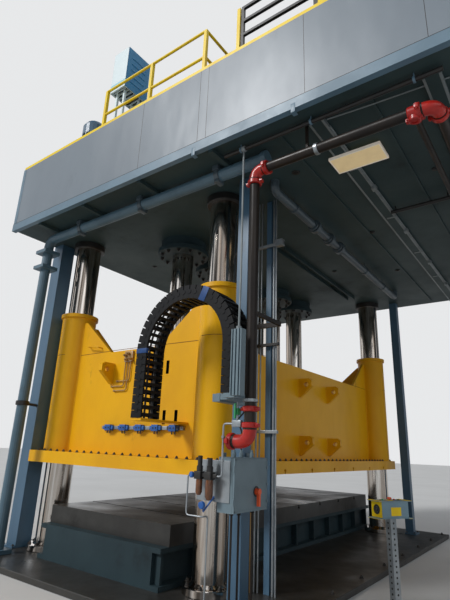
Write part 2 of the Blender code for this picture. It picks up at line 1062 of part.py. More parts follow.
def make_main_pipe(blue):
    """The pressure line: up from the foundation plate and along under the crown."""
    line = pipe(
        "pressure_pipe",
        [
            (main_pipe_x, main_pipe_y, plate_top + seat_gap),
            (main_pipe_x, main_pipe_y, main_pipe_z),
            (main_pipe_end, main_pipe_y, main_pipe_z),
        ],
        main_pipe_radius,
        main_pipe_bend,
        16,
        blue,
    )
    half = pipe_flange / 2
    flanges = []
    for level in pipe_flange_levels:
        flanges.append(
            block(
                f"pipe_flange_{level}",
                (main_pipe_x - half, main_pipe_y - half, level),
                (main_pipe_x + half, main_pipe_y + half, level + pipe_flange_thickness),
            )
        )
    flanges.append(
        block(
            "pipe_foot",
            (main_pipe_x - half, main_pipe_y - half, plate_top + seat_gap),
            (main_pipe_x + half, main_pipe_y + half, plate_top + pipe_flange_thickness),
        )
    )
    for index, x in enumerate((-0.9, 0.6, 2.1)):
        flanges.append(
            block(
                f"pipe_hanger_{index}",
                (x - 0.03, main_pipe_y - 0.06, main_pipe_z),
                (x + 0.03, main_pipe_y + 0.06, crown_bottom - seat_gap),
            )
        )
    flanges.append(
        rod("pipe_end_cap", (main_pipe_end - 0.05, main_pipe_y, main_pipe_z), 0.10, 0.07, 16, "X")
    )
    join(line, flanges)


def make_return_pipe(blue):
    top = crown_bottom - seat_gap
    line = pipe(
        "return_pipe",
        [
            (return_pipe_x, return_pipe_start, top),
            (return_pipe_x, return_pipe_start, return_pipe_z),
            (return_pipe_x, return_pipe_stop, return_pipe_z),
            (return_pipe_x, return_pipe_stop, top),
        ],
        return_pipe_radius,
        0.09,
        12,
        blue,
    )
    rings = []
    for y in return_couplings:
        rings.append(
            rod(f"coupling_{y}", (return_pipe_x, y, return_pipe_z), return_coupling_radius, 0.06, 12, "Y")
        )
    join(line, rings)


def make_water_pipe(dark):
    """A riser beside the near post, a run under the deck and two branches to the rear."""
    y = water_pipe_y
    z = water_pipe_z
    bend = water_pipe_bend
    line = pipe(
        "water_pipe",
        [
            (riser_outlet_x, y, riser_bottom),
            (riser_x, y, riser_bottom),
            (riser_x, y, z),
            (water_pipe_end, y, z),
            (water_pipe_end, water_branch_end, z),
        ],
        water_pipe_radius,
        bend,
        12,
        dark,
    )
    rings = []
    for index, (place_at, axis) in enumerate(
        (
            ((riser_outlet_x, y, riser_bottom), "X"),
            ((riser_x, y, riser_bottom + bend), "Z"),
            ((riser_x, y, z - bend - coupling_length), "Z"),
            ((riser_x + bend, y, z), "X"),
            ((water_pipe_end - bend - coupling_length, y, z), "X"),
            ((water_pipe_end, y + bend, z), "Y"),
            ((water_pipe_end, water_branch_end - coupling_length / 2, z), "Y"),
        )
    ):
        rings.append(rod(f"pipe_coupling_{index}", place_at, coupling_radius, coupling_length, 12, axis))
    tee_start = (water_tee_x - water_tee_length / 2, y, z)
    reach = water_branch_end - y
    rings.append(rod("pipe_tee", tee_start, water_tee_radius, water_tee_length, 12, "X"))
    rings.append(rod("tee_neck", (water_tee_x, y, z), water_tee_radius * 0.8, 0.10, 12, "Y"))
    rings.append(rod("tee_branch", (water_tee_x, y, z), water_branch_radius, reach, 10, "Y"))
    half = hanger_side / 2
    spots = [(water_hanger_x, y, crown_bottom)]
    for branch_y in water_hangers_y:
        spots.append((water_tee_x, branch_y, crown_bottom))
        spots.append((water_pipe_end, branch_y, crown_bottom - soffit_bar_depth))
    for index, (x, hanger_y, under) in enumerate(spots):
        rings.append(
            block(
                f"pipe_hanger_{index}",
                (x - half, hanger_y - half, z),
                (x + half, hanger_y + half, under - seat_gap),
            )
        )
    post_face = right_post_x + right_post_side / 2 + seat_gap
    top = riser_clip_z + riser_clip_height
    rings.append(
        block(
            "riser_clip",
            (post_face, -right_post_y - half, riser_clip_z),
            (riser_x + half, -right_post_y + half, top),
        )
    )
    rings.append(
        block(
            "riser_arm",
            (riser_x - half, y, riser_clip_z + 0.005),
            (riser_x + half, -right_post_y, top - 0.005),
        )
    )
    join(line, rings)


def carrier_station(distance):
    """Centre, forward and outward directions of the cable carrier at a distance along it."""
    left_run = carrier_centre_z - carrier_left_end
    arc = pi * carrier_radius
    centre_x = carrier_left + carrier_radius
    if distance <= left_run:
        point = Vector((carrier_left, 0, carrier_left_end + distance))
        return point, Vector((0, 0, 1)), Vector((-1, 0, 0))
    if distance <= left_run + arc:
        angle = (distance - left_run) / carrier_radius
        outward = Vector((-cos(angle), 0, sin(angle)))
        forward = Vector((sin(angle), 0, cos(angle)))
        point = Vector((centre_x, 0, carrier_centre_z)) + outward * carrier_radius
        return point, forward, outward
    rest = distance - left_run - arc
    point = Vector((centre_x + carrier_radius, 0, carrier_centre_z - rest))
    return point, Vector((0, 0, -1)), Vector((1, 0, 0))


def carrier_length():
    left_run = carrier_centre_z - carrier_left_end
    right_run = carrier_centre_z - carrier_right_end
    return left_run + pi * carrier_radius + right_run


def make_cable_carrier(black):
    """A chain of open links over the loop: two cheeks, and a cross-bar at each pin."""
    length = carrier_length()
    pitch = length / carrier_links
    half = carrier_height / 2
    back = carrier_front + carrier_width
    builder = bmesh.new()
    sections = []
    for index in range(carrier_links + 1):
        point, _, outward = carrier_station(index * pitch)
        sections.append(
            [
                builder.verts.new(point + outward * radial + Vector((0, y, 0)))
                for radial, y in (
                    (-half, carrier_front),
                    (half, carrier_front),
                    (half, back),
                    (-half, back),
                )
            ]
        )
    for first, second in zip(sections, sections[1:]):
        for corner in range(4):
            after = (corner + 1) % 4
            builder.faces.new((first[corner], first[after], second[after], second[corner]))
    builder.faces.new(sections[0])
    builder.faces.new(sections[-1])
    carrier = place(builder, "cable_carrier", black)
    windows = []
    opening = pitch * (1 - carrier_bar)
    inner = carrier_width - 2 * carrier_cheek
    for index in range(carrier_links):
        point, forward, outward = carrier_station((index + 0.5) * pitch)
        window = block(
            f"carrier_window_{index}",
            (-carrier_height, -inner / 2, -opening / 2),
            (carrier_height, inner / 2, opening / 2),
        )
        middle = point + Vector((0, carrier_front + carrier_width / 2, 0))
        turn = Matrix((-outward, Vector((0, 1, 0)), forward)).transposed().to_4x4()
        window.data.transform(Matrix.Translation(middle) @ turn)
        windows.append(window)
    cut(carrier, windows)


def duct_section():
    """The outline of the cable duct, with its flutes on the front."""
    left = duct_x - duct_width / 2
    right = duct_x + duct_width / 2
    outline = [(right, duct_front), (right, duct_front + duct_depth)]
    outline += [(left, duct_front + duct_depth), (left, duct_front)]
    pitch = duct_width / duct_flutes
    for index in range(duct_flutes):
        middle = left + (index + 0.5) * pitch
        outline += [
            (middle - duct_flute / 2, duct_front),
            (middle - duct_flute / 2, duct_front + duct_flute),
            (middle + duct_flute / 2, duct_front + duct_flute),
            (middle + duct_flute / 2, duct_front),
        ]
    return outline


def make_carrier_bracket(grey):
    """The arm on the near post under the cable carrier's fixed end, with an upright cable duct."""
    x = carrier_left + 2 * carrier_radius
    face = right_post_x + right_post_side / 2 + seat_gap
    top = carrier_right_end - seat_gap
    low = top - bracket_height
    front = carrier_front + 0.01
    bracket = block(
        "carrier_bracket",
        (face, front, low),
        (face + bracket_width, -right_post_y + bracket_root, top - 0.005),
        grey,
    )
    cross = block(
        "bracket_cross",
        (face + bracket_width / 2, front + 0.005, low + 0.02),
        (x + carrier_height / 2, carrier_front + carrier_width, top),
    )
    arm = block(
        "duct_arm",
        (x, duct_front + duct_depth - 0.01, low + 0.03),
        (duct_x, front + 0.02, top - 0.01),
    )
    duct = prism("cable_duct", duct_section(), duct_low, duct_high, "Z")
    join(bracket, [cross, arm, duct])


def make_manifold(steel):
    """A lubrication rail with outlet blocks on the front face of the slide."""
    face = -slide_body_half_y - seat_gap
    rail = block(
        "lube_manifold",
        (manifold_left, face - manifold_depth, manifold_z - manifold_height / 2),
        (manifold_right, face, manifold_z + manifold_height / 2),
        steel,
    )
    blocks = []
    step = (manifold_right - manifold_left) / manifold_blocks
    for index in range(manifold_blocks):
        x = manifold_left + (index + 0.5) * step
        half = manifold_block / 2
        blocks.append(
            block(
                f"manifold_block_{index}",
                (x - 1.4 * half, face - manifold_block, manifold_z - half),
                (x + 1.4 * half, face - 0.01, manifold_z + half),
            )
        )
    join(rail, blocks)


def make_cabinet(blue):
    """The control cabinet on the near post: an open-fronted shell that faces +X."""
    back = right_post_x + right_post_side / 2 + seat_gap
    front = back + cabinet_depth
    wall = cabinet_wall
    shell = block(
        "control_cabinet",
        (back, cabinet_front, cabinet_low),
        (front, cabinet_back, cabinet_high),
        blue,
    )
    room = block(
        "cabinet_room",
        (back + wall, cabinet_front + wall, cabinet_low + wall),
        (front + wall, cabinet_back - wall, cabinet_high - wall),
    )
    cut(shell, [room])
    return front


def make_door(front, blue, red):
    """The cabinet door, hinged on its forward edge, and the switch handle on it."""
    face = front + door_gap
    outer = face + door_thickness
    door = block(
        "cabinet_door",
        (face, cabinet_front + 0.002, cabinet_low + 0.002),
        (outer, cabinet_back - 0.002, cabinet_high - 0.002),
        blue,
    )
    knuckles = []
    for index, level in enumerate((cabinet_low + 0.08, cabinet_high - 0.14)):
        knuckles.append(
            rod(f"hinge_{index}", (outer, cabinet_front - 0.012, level), 0.012, 0.06, 10)
        )
        knuckles.append(
            block(
                f"hinge_leaf_{index}",
                (outer - 0.006, cabinet_front - 0.012, level),
                (outer + 0.004, cabinet_front + 0.03, level + 0.06),
            )
        )
    join(door, knuckles)
    hub = outer + seat_gap
    handle = rod("disconnect_handle", (hub, handle_y, handle_z), handle_hub, handle_reach, 12, "X", red)
    grip = block(
        "handle_grip",
        (hub + handle_reach - 0.03, handle_y - handle_width / 2, handle_z - handle_length),
        (hub + handle_reach, handle_y + handle_width / 2, handle_z + 0.02),
    )
    join(handle, [grip])


def station_matrix():
    """Places the operator station: its own X runs along the box, its own -Y faces the operator."""
    return Matrix.Translation((station_x, station_y, 0)) @ Matrix.Rotation(
        radians(station_turn), 4, "Z"
    )


def make_station(grey, yellow, black, red):
    """Two-hand station: pedestal, box with guard lips, two palm buttons and a stop button."""
    turn = station_matrix()
    half = pedestal_side / 2
    foot = pedestal_foot / 2
    pedestal = block("station_pedestal", (-half, -half, 0), (half, half, station_base - seat_gap), grey)
    base = block("pedestal_foot", (-foot, -foot, 0), (foot, foot, pedestal_foot_height))
    pedestal.data.transform(turn)
    base.data.transform(turn)
    join(pedestal, [base])
    long_half = station_length / 2
    deep_half = station_depth / 2
    top = station_base + station_height
    box = block(
        "station_box", (-long_half, -deep_half, station_base), (long_half, deep_half, top), grey
    )
    lips = []
    for level in (station_base, top - station_lip_thickness):
        lips.append(
            block(
                f"station_lip_{level}",
                (-long_half - station_lip, -deep_half - 0.01, level),
                (long_half + station_lip, deep_half + 0.01, level + station_lip_thickness),
            )
        )
    middle = station_base + station_height / 2
    bore = stem_radius + stem_gap
    bores = [
        rod("stem_bore_left", (-long_half - 0.01, 0, middle), bore, 0.05, 12, "X"),
        rod("stem_bore_right", (long_half - 0.04, 0, middle), bore, 0.05, 12, "X"),
        rod("stem_bore_stop", (0, 0, top - 0.04), bore, 0.05, 12),
    ]
    for piece in [box] + lips + bores:
        piece.data.transform(turn)
    join(box, lips)
    cut(box, bores)
    rest = palm_travel + seat_gap
    for word, sign in (("left", -1), ("right", 1)):
        face = sign * (long_half + rest)
        profile = [
            (0, -0.03),
            (stem_radius, -0.03),
            (stem_radius, 0),
            (palm_radius, 0),
            (palm_radius, palm_cap * 0.6),
            (palm_radius * 0.8, palm_cap),
            (0, palm_cap),
        ]
        outward = [(radius, sign * height) for radius, height in profile]
        button = turned(f"palm_button_{word}", outward, (face, 0, middle), 16, "X", black)
        button.data.transform(turn)
    profile = [
        (0, -0.03),
        (stem_radius, -0.03),
        (stem_radius, 0.01),
        (stop_radius, 0.014),
        (stop_radius, stop_height - 0.008),
        (stop_radius * 0.75, stop_height),
        (0, stop_height),
    ]
    stop = turned("stop_button", profile, (0, 0, top + seat_gap), 16, "Z", red)
    stop.data.transform(turn)


def make_motor(blue):
    """The pump motor on the crown: a finned barrel with a fan cowl."""
    low = crown_top + seat_gap
    profile = [
        (0, 0),
        (motor_radius * 1.15, 0),
        (motor_radius * 1.15, 0.05),
        (motor_radius * 0.88, 0.08),
        (motor_radius * 0.88, motor_height - 0.30),
        (motor_radius, motor_height - 0.28),
        (motor_radius, motor_height - 0.08),
        (motor_radius * 0.75, motor_height),
        (0, motor_height),
    ]
    motor = turned("pump_motor", profile, (motor_x, motor_y, low), 20, "Z", blue)
    fins = []
    for index in range(motor_fins // 2):
        fin = block(
            f"motor_fin_{index}",
            (-motor_radius, -0.006, 0.10),
            (motor_radius, 0.006, motor_height - 0.29),
        )
        turn = Matrix.Rotation(2 * pi * (index + 0.5) / motor_fins, 4, "Z")
        fin.data.transform(Matrix.Translation((motor_x, motor_y, low)) @ turn)
        fins.append(fin)
    join(motor, fins)


def make_tank(blue):
    low = crown_top + seat_gap
    tank = block("oil_tank", (*tank_low, low), (*tank_high, low + tank_height), blue)
    lid = block(
        "tank_lid",
        (tank_low[0] - 0.04, tank_low[1] - 0.04, low + tank_height - tank_lid),
        (tank_high[0] + 0.04, tank_high[1] + 0.04, low + tank_height),
    )
    breather = rod(
        "tank_breather",
        (tank_low[0] + 0.4, tank_low[1] + 0.5, low + tank_height - 0.01),
        0.09,
        0.22,
        12,
    )
    soften(tank, 0.015)
    join(tank, [lid, breather])


def make_cooler(pale):
    """The cooler cabinet on legs over the crown, with an open louvre in its underside."""
    low = crown_top + seat_gap
    x0, y0 = cooler_x - cooler_width / 2, cooler_y - cooler_depth / 2
    x1, y1 = cooler_x + cooler_width / 2, cooler_y + cooler_depth / 2
    cooler = block("cooler_cabinet", (x0, y0, cooler_low), (x1, y1, cooler_high), pale)
    wall = 0.02
    room = block(
        "cooler_room", (x0 + wall, y0 + wall, cooler_low - 0.1), (x1 - wall, y1 - wall, cooler_low + 0.12)
    )
    cut(cooler, [room])
    pieces = []
    for index in range(cooler_slats):
        y = y0 + wall + (index + 0.5) * (cooler_depth - 2 * wall) / cooler_slats
        pieces.append(
            block(
                f"cooler_slat_{index}",
                (x0 + wall / 2, y - 0.012, cooler_low + 0.01),
                (x1 - wall / 2, y + 0.012, cooler_low + 0.03),
            )
        )
    inset = cooler_leg_inset
    for x in (x0 + inset, x1 - inset - cooler_leg):
        for y in (y0 + inset, y1 - inset - cooler_leg):
            pieces.append(
                block(
                    f"cooler_leg_{x}_{y}", (x, y, low), (x + cooler_leg, y + cooler_leg, cooler_low + 0.05)
                )
            )
    join(cooler, pieces)


def make_light(cream):
    """A flat light under the soffit bar, with its ballast box up to the soffit."""
    top = crown_bottom - soffit_bar_depth - seat_gap
    light = block(
        "work_light",
        (light_x - light_length / 2, light_y - light_width / 2, top - light_height),
        (light_x + light_length / 2, light_y + light_width / 2, top),
        cream,
    )
    soften(light, 0.01)
    ballast = block("light_ballast", (*ballast_low, top - 0.02), (*ballast_high, crown_bottom - seat_gap))
    join(light, [ballast])


def build():
    clear_scene()
    yellow = paint("slide_yellow", (0.83, 0.47, 0.02), 0.38)
    rail_yellow = paint("rail_yellow", (0.86, 0.62, 0.03), 0.4)
    dark_blue = paint("crown_blue", (0.08, 0.14, 0.17), 0.5)
    blue = paint("post_blue", (0.15, 0.26, 0.34), 0.45)
    grey = paint("panel_grey", (0.34, 0.38, 0.42), 0.5)
    chrome = paint("column_chrome", (0.60, 0.58, 0.55), 0.12, 1.0)
    steel = paint("plate_steel", (0.10, 0.10, 0.095), 0.5, 0.6)
    black = paint("black", (0.015, 0.015, 0.017), 0.5)
    red = paint("switch_red", (0.62, 0.05, 0.02), 0.4)
    pale = paint("cooler_pale", (0.40, 0.62, 0.70), 0.4)
    cream = paint("lamp_cream", (0.80, 0.72, 0.52), 0.5)

    make_foundation(steel)
    make_bed(dark_blue)
    make_bolster(steel)
    make_columns(chrome, black)
    make_slide(yellow)
    make_slide_plate(yellow)
    make_rams(chrome)
    make_cylinders(dark_blue)
    make_crown(dark_blue)
    make_deck(dark_blue, steel)
    make_panels(grey, blue)
    make_handrail(rail_yellow)
    make_gate(black)
    make_posts(blue)
    make_strut(blue)
    make_main_pipe(blue)
    make_return_pipe(blue)
    make_water_pipe(black)
    make_cable_carrier(black)
    make_carrier_bracket(grey)
    make_manifold(steel)
    cabinet_face = make_cabinet(blue)
    make_door(cabinet_face, blue, red)
    make_station(grey, rail_yellow, black, red)
    make_motor(blue)
    make_tank(blue)
    make_cooler(pale)
    make_light(cream)


build()
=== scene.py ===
from math import cos, pi, radians, sin

import bmesh
import bpy
from mathutils import Matrix, Vector


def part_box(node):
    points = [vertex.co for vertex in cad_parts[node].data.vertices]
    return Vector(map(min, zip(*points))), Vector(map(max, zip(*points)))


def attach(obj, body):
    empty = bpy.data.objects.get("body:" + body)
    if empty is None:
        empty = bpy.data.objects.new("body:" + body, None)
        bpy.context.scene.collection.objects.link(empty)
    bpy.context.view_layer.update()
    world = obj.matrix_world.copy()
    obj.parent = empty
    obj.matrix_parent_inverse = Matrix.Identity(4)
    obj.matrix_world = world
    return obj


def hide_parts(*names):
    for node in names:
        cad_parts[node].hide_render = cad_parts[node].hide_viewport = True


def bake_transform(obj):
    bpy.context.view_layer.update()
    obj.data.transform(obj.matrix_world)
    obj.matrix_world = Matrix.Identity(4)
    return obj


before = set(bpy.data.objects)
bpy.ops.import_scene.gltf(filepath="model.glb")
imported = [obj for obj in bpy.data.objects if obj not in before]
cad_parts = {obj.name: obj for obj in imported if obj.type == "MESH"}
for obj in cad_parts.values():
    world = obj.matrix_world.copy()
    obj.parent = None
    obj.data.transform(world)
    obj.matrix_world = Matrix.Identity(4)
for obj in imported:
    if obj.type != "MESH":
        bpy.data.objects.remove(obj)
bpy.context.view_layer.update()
print("frame loaded:", len(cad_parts), "nodes")


def linked(name, data):
    holder = bpy.data.objects.new(name, data)
    bpy.context.scene.collection.objects.link(holder)
    return holder


# camera at the photograph's place, low on the floor and looking up
camera = {
    "spot": (5.5, -8.173, 1.76),
    "look": (-0.57087, 0.76183, 0.30614),
    "right": (0.80696, 0.58937, 0.03813),
    "lens": 27.38,
    "sensor": 36,
    "farthest": 200,
}


def placeCamera():
    eye = bpy.data.cameras.new("pressCamera")
    eye.sensor_fit = "VERTICAL"
    eye.sensor_height = camera["sensor"]
    eye.lens = camera["lens"]
    eye.clip_end = camera["farthest"]
    holder = linked("pressCamera", eye)
    look = Vector(camera["look"]).normalized()
    right = Vector(camera["right"])
    right = (right - look * right.dot(look)).normalized()
    turn = Matrix((right, right.cross(look), -look)).transposed()
    holder.matrix_world = Matrix.Translation(camera["spot"]) @ turn.to_4x4()
    bpy.context.scene.camera = holder


placeCamera()
print("camera placed")


def plug(tree, node, values):  # a socket is linked, anything else is the input's value
    for label, value in values.items():
        if isinstance(value, bpy.types.NodeSocket):
            tree.links.new(value, node.inputs[label])
        else:
            node.inputs[label].default_value = value


def addNode(tree, kind, values=(), **settings):
    node = tree.nodes.new(kind)
    for label, value in settings.items():
        setattr(node, label, value)
    plug(tree, node, dict(values))
    return node


def setRamp(node, positions, colours):
    for element, position, colour in zip(node.color_ramp.elements, positions, colours):
        element.position = position
        element.color = (*colour, 1)


# finishes: one builder lays colour drift, dirt, gloss drift and surface grain
texture = {
    "cloudDetail": 8, "cloudRough": 0.62, "tones": (0.36, 0.64),
    "smearDetail": 10, "smearRough": 0.7, "soilFrom": 0.74, "soilTo": 0.86, "soilMost": 0.75,
    "glossFrom": 0.3, "glossTo": 0.7, "grainDetail": 3, "bump": 0.6, "coatRough": 0.12,
}


def makeFinish(
    name, base, second, drift=1.2, stretch=(1, 1, 1), dirt=(0.05, 0.04, 0.03), dirtShare=0.0,
    dirtScale=2.5, rough=(0.4, 0.5), grains=(), metallic=0.0, coat=0.0, shine=0.5, glow=0.0,
):
    finish = bpy.data.materials.new(name)
    finish.use_nodes = True
    tree = finish.node_tree
    where = addNode(tree, "ShaderNodeTexCoord").outputs["Object"]
    flow = addNode(tree, "ShaderNodeMapping", {"Vector": where, "Scale": stretch}).outputs["Vector"]

    def noise(scale, detail, roughness=0.5):
        values = {"Vector": flow, "Scale": scale, "Detail": detail, "Roughness": roughness}
        return addNode(tree, "ShaderNodeTexNoise", values).outputs["Fac"]

    cloud = noise(drift, texture["cloudDetail"], texture["cloudRough"])
    tone = addNode(tree, "ShaderNodeValToRGB", {"Fac": cloud})
    setRamp(tone, texture["tones"], (base, second))
    colour = tone.outputs["Color"]
    if dirtShare:
        mask = addNode(tree, "ShaderNodeMapRange", {
            "Value": noise(dirtScale, texture["smearDetail"], texture["smearRough"]),
            "From Min": texture["soilFrom"] - dirtShare,
            "From Max": texture["soilTo"] - dirtShare * 0.5,
            "To Max": texture["soilMost"],
        })
        soil = {0: mask.outputs["Result"], 6: colour, 7: (*dirt, 1)}
        colour = addNode(tree, "ShaderNodeMix", soil, data_type="RGBA").outputs[2]
    gloss = addNode(tree, "ShaderNodeMapRange", {
        "Value": cloud, "From Min": texture["glossFrom"], "From Max": texture["glossTo"],
        "To Min": rough[0], "To Max": rough[1],
    })
    surface = {
        "Base Color": colour, "Roughness": gloss.outputs["Result"], "Metallic": metallic,
        "Coat Weight": coat, "Coat Roughness": texture["coatRough"], "Specular IOR Level": shine,
        "Emission Color": (*base, 1), "Emission Strength": glow,
    }
    for scale, height in grains:
        relief = noise(scale, texture["grainDetail"])
        bump = {"Height": relief, "Strength": texture["bump"], "Distance": height}
        if "Normal" in surface:
            bump["Normal"] = surface["Normal"]
        surface["Normal"] = addNode(tree, "ShaderNodeBump", bump).outputs["Normal"]
    plug(tree, tree.nodes["Principled BSDF"], surface)
    return finish


slideYellow = makeFinish(
    "slideYellow", (0.80, 0.415, 0.004), (0.69, 0.335, 0.003), 0.9, (1, 1, 0.5), (0.17, 0.08, 0.01), 0.10,
    3.0, (0.34, 0.46), ((0.9, 0.02), (60, 0.0008)), shine=0.26)
slideSeam = makeFinish(
    "slideSeam", (0.30, 0.13, 0.01), (0.20, 0.08, 0.01), 8, rough=(0.5, 0.7), grains=((40, 0.003),))
railYellow = makeFinish(
    "railYellow", (0.90, 0.66, 0.008), (0.80, 0.54, 0.006), 3, dirt=(0.12, 0.08, 0.03), dirtShare=0.10,
    dirtScale=9, rough=(0.3, 0.45), grains=((90, 0.0006),), shine=0.3)
postBlue = makeFinish(
    "postBlue", (0.060, 0.130, 0.205), (0.042, 0.098, 0.158), 1.1, (1, 1, 0.35), (0.03, 0.035, 0.04), 0.14,
    3.5, (0.36, 0.52), ((1.4, 0.012), (70, 0.0008)), coat=0.1)
lineBlue = makeFinish(
    "lineBlue", (0.080, 0.148, 0.196), (0.058, 0.112, 0.152), 1.4, dirt=(0.02, 0.022, 0.022), dirtShare=0.12,
    dirtScale=4, rough=(0.36, 0.5), grains=((60, 0.0008),), coat=0.05)
lineGrey = makeFinish(
    "lineGrey", (0.062, 0.088, 0.105), (0.044, 0.064, 0.078), 1.4, dirt=(0.02, 0.022, 0.022), dirtShare=0.12,
    dirtScale=4, rough=(0.36, 0.5), grains=((60, 0.0008),), coat=0.1)
crownBlue = makeFinish(
    "crownBlue", (0.025, 0.047, 0.056), (0.016, 0.031, 0.038), 0.8, dirt=(0.008, 0.009, 0.009),
    dirtShare=0.16, dirtScale=1.6, rough=(0.45, 0.62), grains=((0.8, 0.02), (60, 0.0008)), shine=0.25)
soffitGrey = makeFinish(
    "soffitGrey", (0.036, 0.061, 0.063), (0.025, 0.044, 0.047), 0.6, dirt=(0.012, 0.013, 0.012),
    dirtShare=0.16, dirtScale=1.2, rough=(0.42, 0.62), grains=((0.7, 0.03), (50, 0.001)), shine=0.2)
panelGrey = makeFinish(
    "panelGrey", (0.168, 0.204, 0.238), (0.136, 0.168, 0.200), 0.55, (1, 1, 0.45), (0.085, 0.105, 0.12), 0.14,
    1.4, (0.34, 0.46), ((0.9, 0.035), (3.2, 0.0022), (120, 0.0003)), shine=0.46)
trimBlue = makeFinish(
    "trimBlue", (0.108, 0.190, 0.255), (0.082, 0.150, 0.205), 1.5, dirtShare=0.1, dirt=(0.08, 0.10, 0.11),
    rough=(0.35, 0.5), grains=((1.2, 0.01), (90, 0.0006)))
# bright metal: its dark brown second tone, stretched into upright streaks, is a painted reflection of the
# yellow slide and the dark surroundings; the brown dirt patches are oil
chromePaintedStreaks = makeFinish(
    "chromePaintedStreaks", (0.80, 0.77, 0.73), (0.34, 0.27, 0.21), 2.4, (3.5, 3.5, 0.10), (0.10, 0.05, 0.02), 0.26,
    3.2, (0.05, 0.17), ((160, 0.0002),), metallic=1.0)
oilySteel = makeFinish(
    "oilySteel", (0.050, 0.049, 0.045), (0.030, 0.029, 0.027), 1.1, dirt=(0.012, 0.011, 0.010),
    dirtShare=0.18, dirtScale=2.4, rough=(0.25, 0.55), grains=((6, 0.002), (90, 0.0006)), metallic=0.35)
collarBlack = makeFinish(
    "collarBlack", (0.016, 0.016, 0.017), (0.027, 0.025, 0.023), 5, dirt=(0.045, 0.038, 0.03), dirtShare=0.10,
    dirtScale=6, rough=(0.35, 0.55), grains=((80, 0.0008),), metallic=0.3)
boltSteel = makeFinish(
    "boltSteel", (0.11, 0.105, 0.10), (0.05, 0.047, 0.045), 12, rough=(0.3, 0.5), grains=((140, 0.0005),),
    metallic=0.8)
chainBlack = makeFinish(
    "chainBlack", (0.0045, 0.0048, 0.0055), (0.009, 0.0095, 0.011), 7, dirt=(0.05, 0.05, 0.05),
    dirtShare=0.05, dirtScale=14, rough=(0.46, 0.66), grains=((140, 0.0006),), shine=0.16)
tapeBlue = makeFinish(
    "tapeBlue", (0.020, 0.068, 0.21), (0.014, 0.050, 0.16), 9, rough=(0.4, 0.55), grains=((60, 0.001),),
    shine=0.25)
valveRed = makeFinish(
    "valveRed", (0.46, 0.018, 0.010), (0.32, 0.010, 0.008), 7, dirt=(0.08, 0.01, 0.008), dirtShare=0.12,
    dirtScale=11, rough=(0.26, 0.40), grains=((50, 0.0014),), coat=0.12, shine=0.4)
pipeBlack = makeFinish(
    "pipeBlack", (0.022, 0.016, 0.012), (0.012, 0.009, 0.008), 3, (1, 1, 0.4), (0.055, 0.034, 0.020), 0.12,
    4, (0.30, 0.5), ((60, 0.001),), metallic=0.1, shine=0.3)
zincGrey = makeFinish(
    "zincGrey", (0.36, 0.39, 0.41), (0.26, 0.29, 0.31), 6, rough=(0.32, 0.48), grains=((70, 0.0008),),
    metallic=0.7)
copperTube = makeFinish(
    "copperTube", (0.46, 0.29, 0.12), (0.34, 0.20, 0.08), 8, rough=(0.3, 0.45), grains=((90, 0.0004),),
    metallic=0.5)
boxGrey = makeFinish(
    "boxGrey", (0.145, 0.205, 0.235), (0.110, 0.160, 0.188), 1.6, dirt=(0.06, 0.07, 0.075), dirtShare=0.12,
    dirtScale=5, rough=(0.36, 0.5), grains=((2, 0.004), (110, 0.0004)), coat=0.1)
stationGrey = makeFinish(
    "stationGrey", (0.19, 0.30, 0.36), (0.14, 0.235, 0.29), 3, dirtShare=0.08, dirt=(0.06, 0.07, 0.08),
    dirtScale=12, rough=(0.34, 0.46), grains=((120, 0.0004),), coat=0.15)
coolerWhite = makeFinish(
    "coolerWhite", (0.74, 0.84, 0.86), (0.66, 0.78, 0.81), 2, rough=(0.3, 0.42),
    grains=((1.5, 0.004), (120, 0.0003)), coat=0.2)
coolerBlue = makeFinish(
    "coolerBlue", (0.045, 0.28, 0.54), (0.038, 0.245, 0.48), 2, rough=(0.32, 0.44),
    grains=((1.5, 0.004), (120, 0.0003)), coat=0.2)
lampCream = makeFinish(
    "lampCream", (0.80, 0.62, 0.34), (0.70, 0.53, 0.28), 4, rough=(0.45, 0.6), grains=((30, 0.001),),
    glow=0.28)
# the lamp's frame is given a faint glow: painted light on the frame, not an emitter
lampRimPaintedGlow = makeFinish(
    "lampRimPaintedGlow", (0.84, 0.76, 0.66), (0.76, 0.68, 0.58), 4, rough=(0.35, 0.5), grains=((60, 0.0006),),
    glow=0.16)
handleOrange = makeFinish(
    "handleOrange", (0.78, 0.10, 0.02), (0.62, 0.06, 0.015), 9, rough=(0.3, 0.42), grains=((80, 0.0005),),
    coat=0.25)
buttonBlack = makeFinish(
    "buttonBlack", (0.016, 0.016, 0.018), (0.026, 0.026, 0.028), 14, rough=(0.28, 0.42),
    grains=((150, 0.0003),), coat=0.2)
valveBlue = makeFinish(
    "valveBlue", (0.012, 0.10, 0.36), (0.010, 0.075, 0.28), 9, rough=(0.34, 0.48), grains=((60, 0.0008),),
    coat=0.1)
amberBowl = makeFinish(
    "amberBowl", (0.17, 0.055, 0.012), (0.09, 0.03, 0.008), 14, rough=(0.10, 0.18), grains=((80, 0.0002),),
    coat=0.5)
stripeCyan = makeFinish(
    "stripeCyan", (0.30, 0.62, 0.74), (0.26, 0.56, 0.68), 2, rough=(0.3, 0.42), grains=((120, 0.0003),),
    coat=0.2)
soffitPale = makeFinish(
    "soffitPale", (0.20, 0.23, 0.24), (0.14, 0.165, 0.17), 4, rough=(0.4, 0.55), grains=((80, 0.0005),))
valveGreen = makeFinish(
    "valveGreen", (0.03, 0.30, 0.10), (0.02, 0.22, 0.08), 9, rough=(0.35, 0.5), grains=((70, 0.0006),))
print("finishes made")

corners = {"front_left": (-1, -1), "rear_left": (-1, 1), "front_right": (1, -1), "rear_right": (1, 1)}
numbers = ("1", "2", "3", "4")
levels = {"floor": 0.0803, "soffit": 5.4297}  # where standing and hanging pieces end
axisX, axisY, axisZ = (1, 0, 0), (0, 1, 0), (0, 0, 1)
forwards, down = (0, -1, 0), (0, 0, -1)


def named(start, ends):
    return [start + end for end in ends]


def dress(finish, *names):
    for name in names:
        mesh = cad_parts[name].data
        mesh.materials.clear()
        mesh.materials.append(finish)


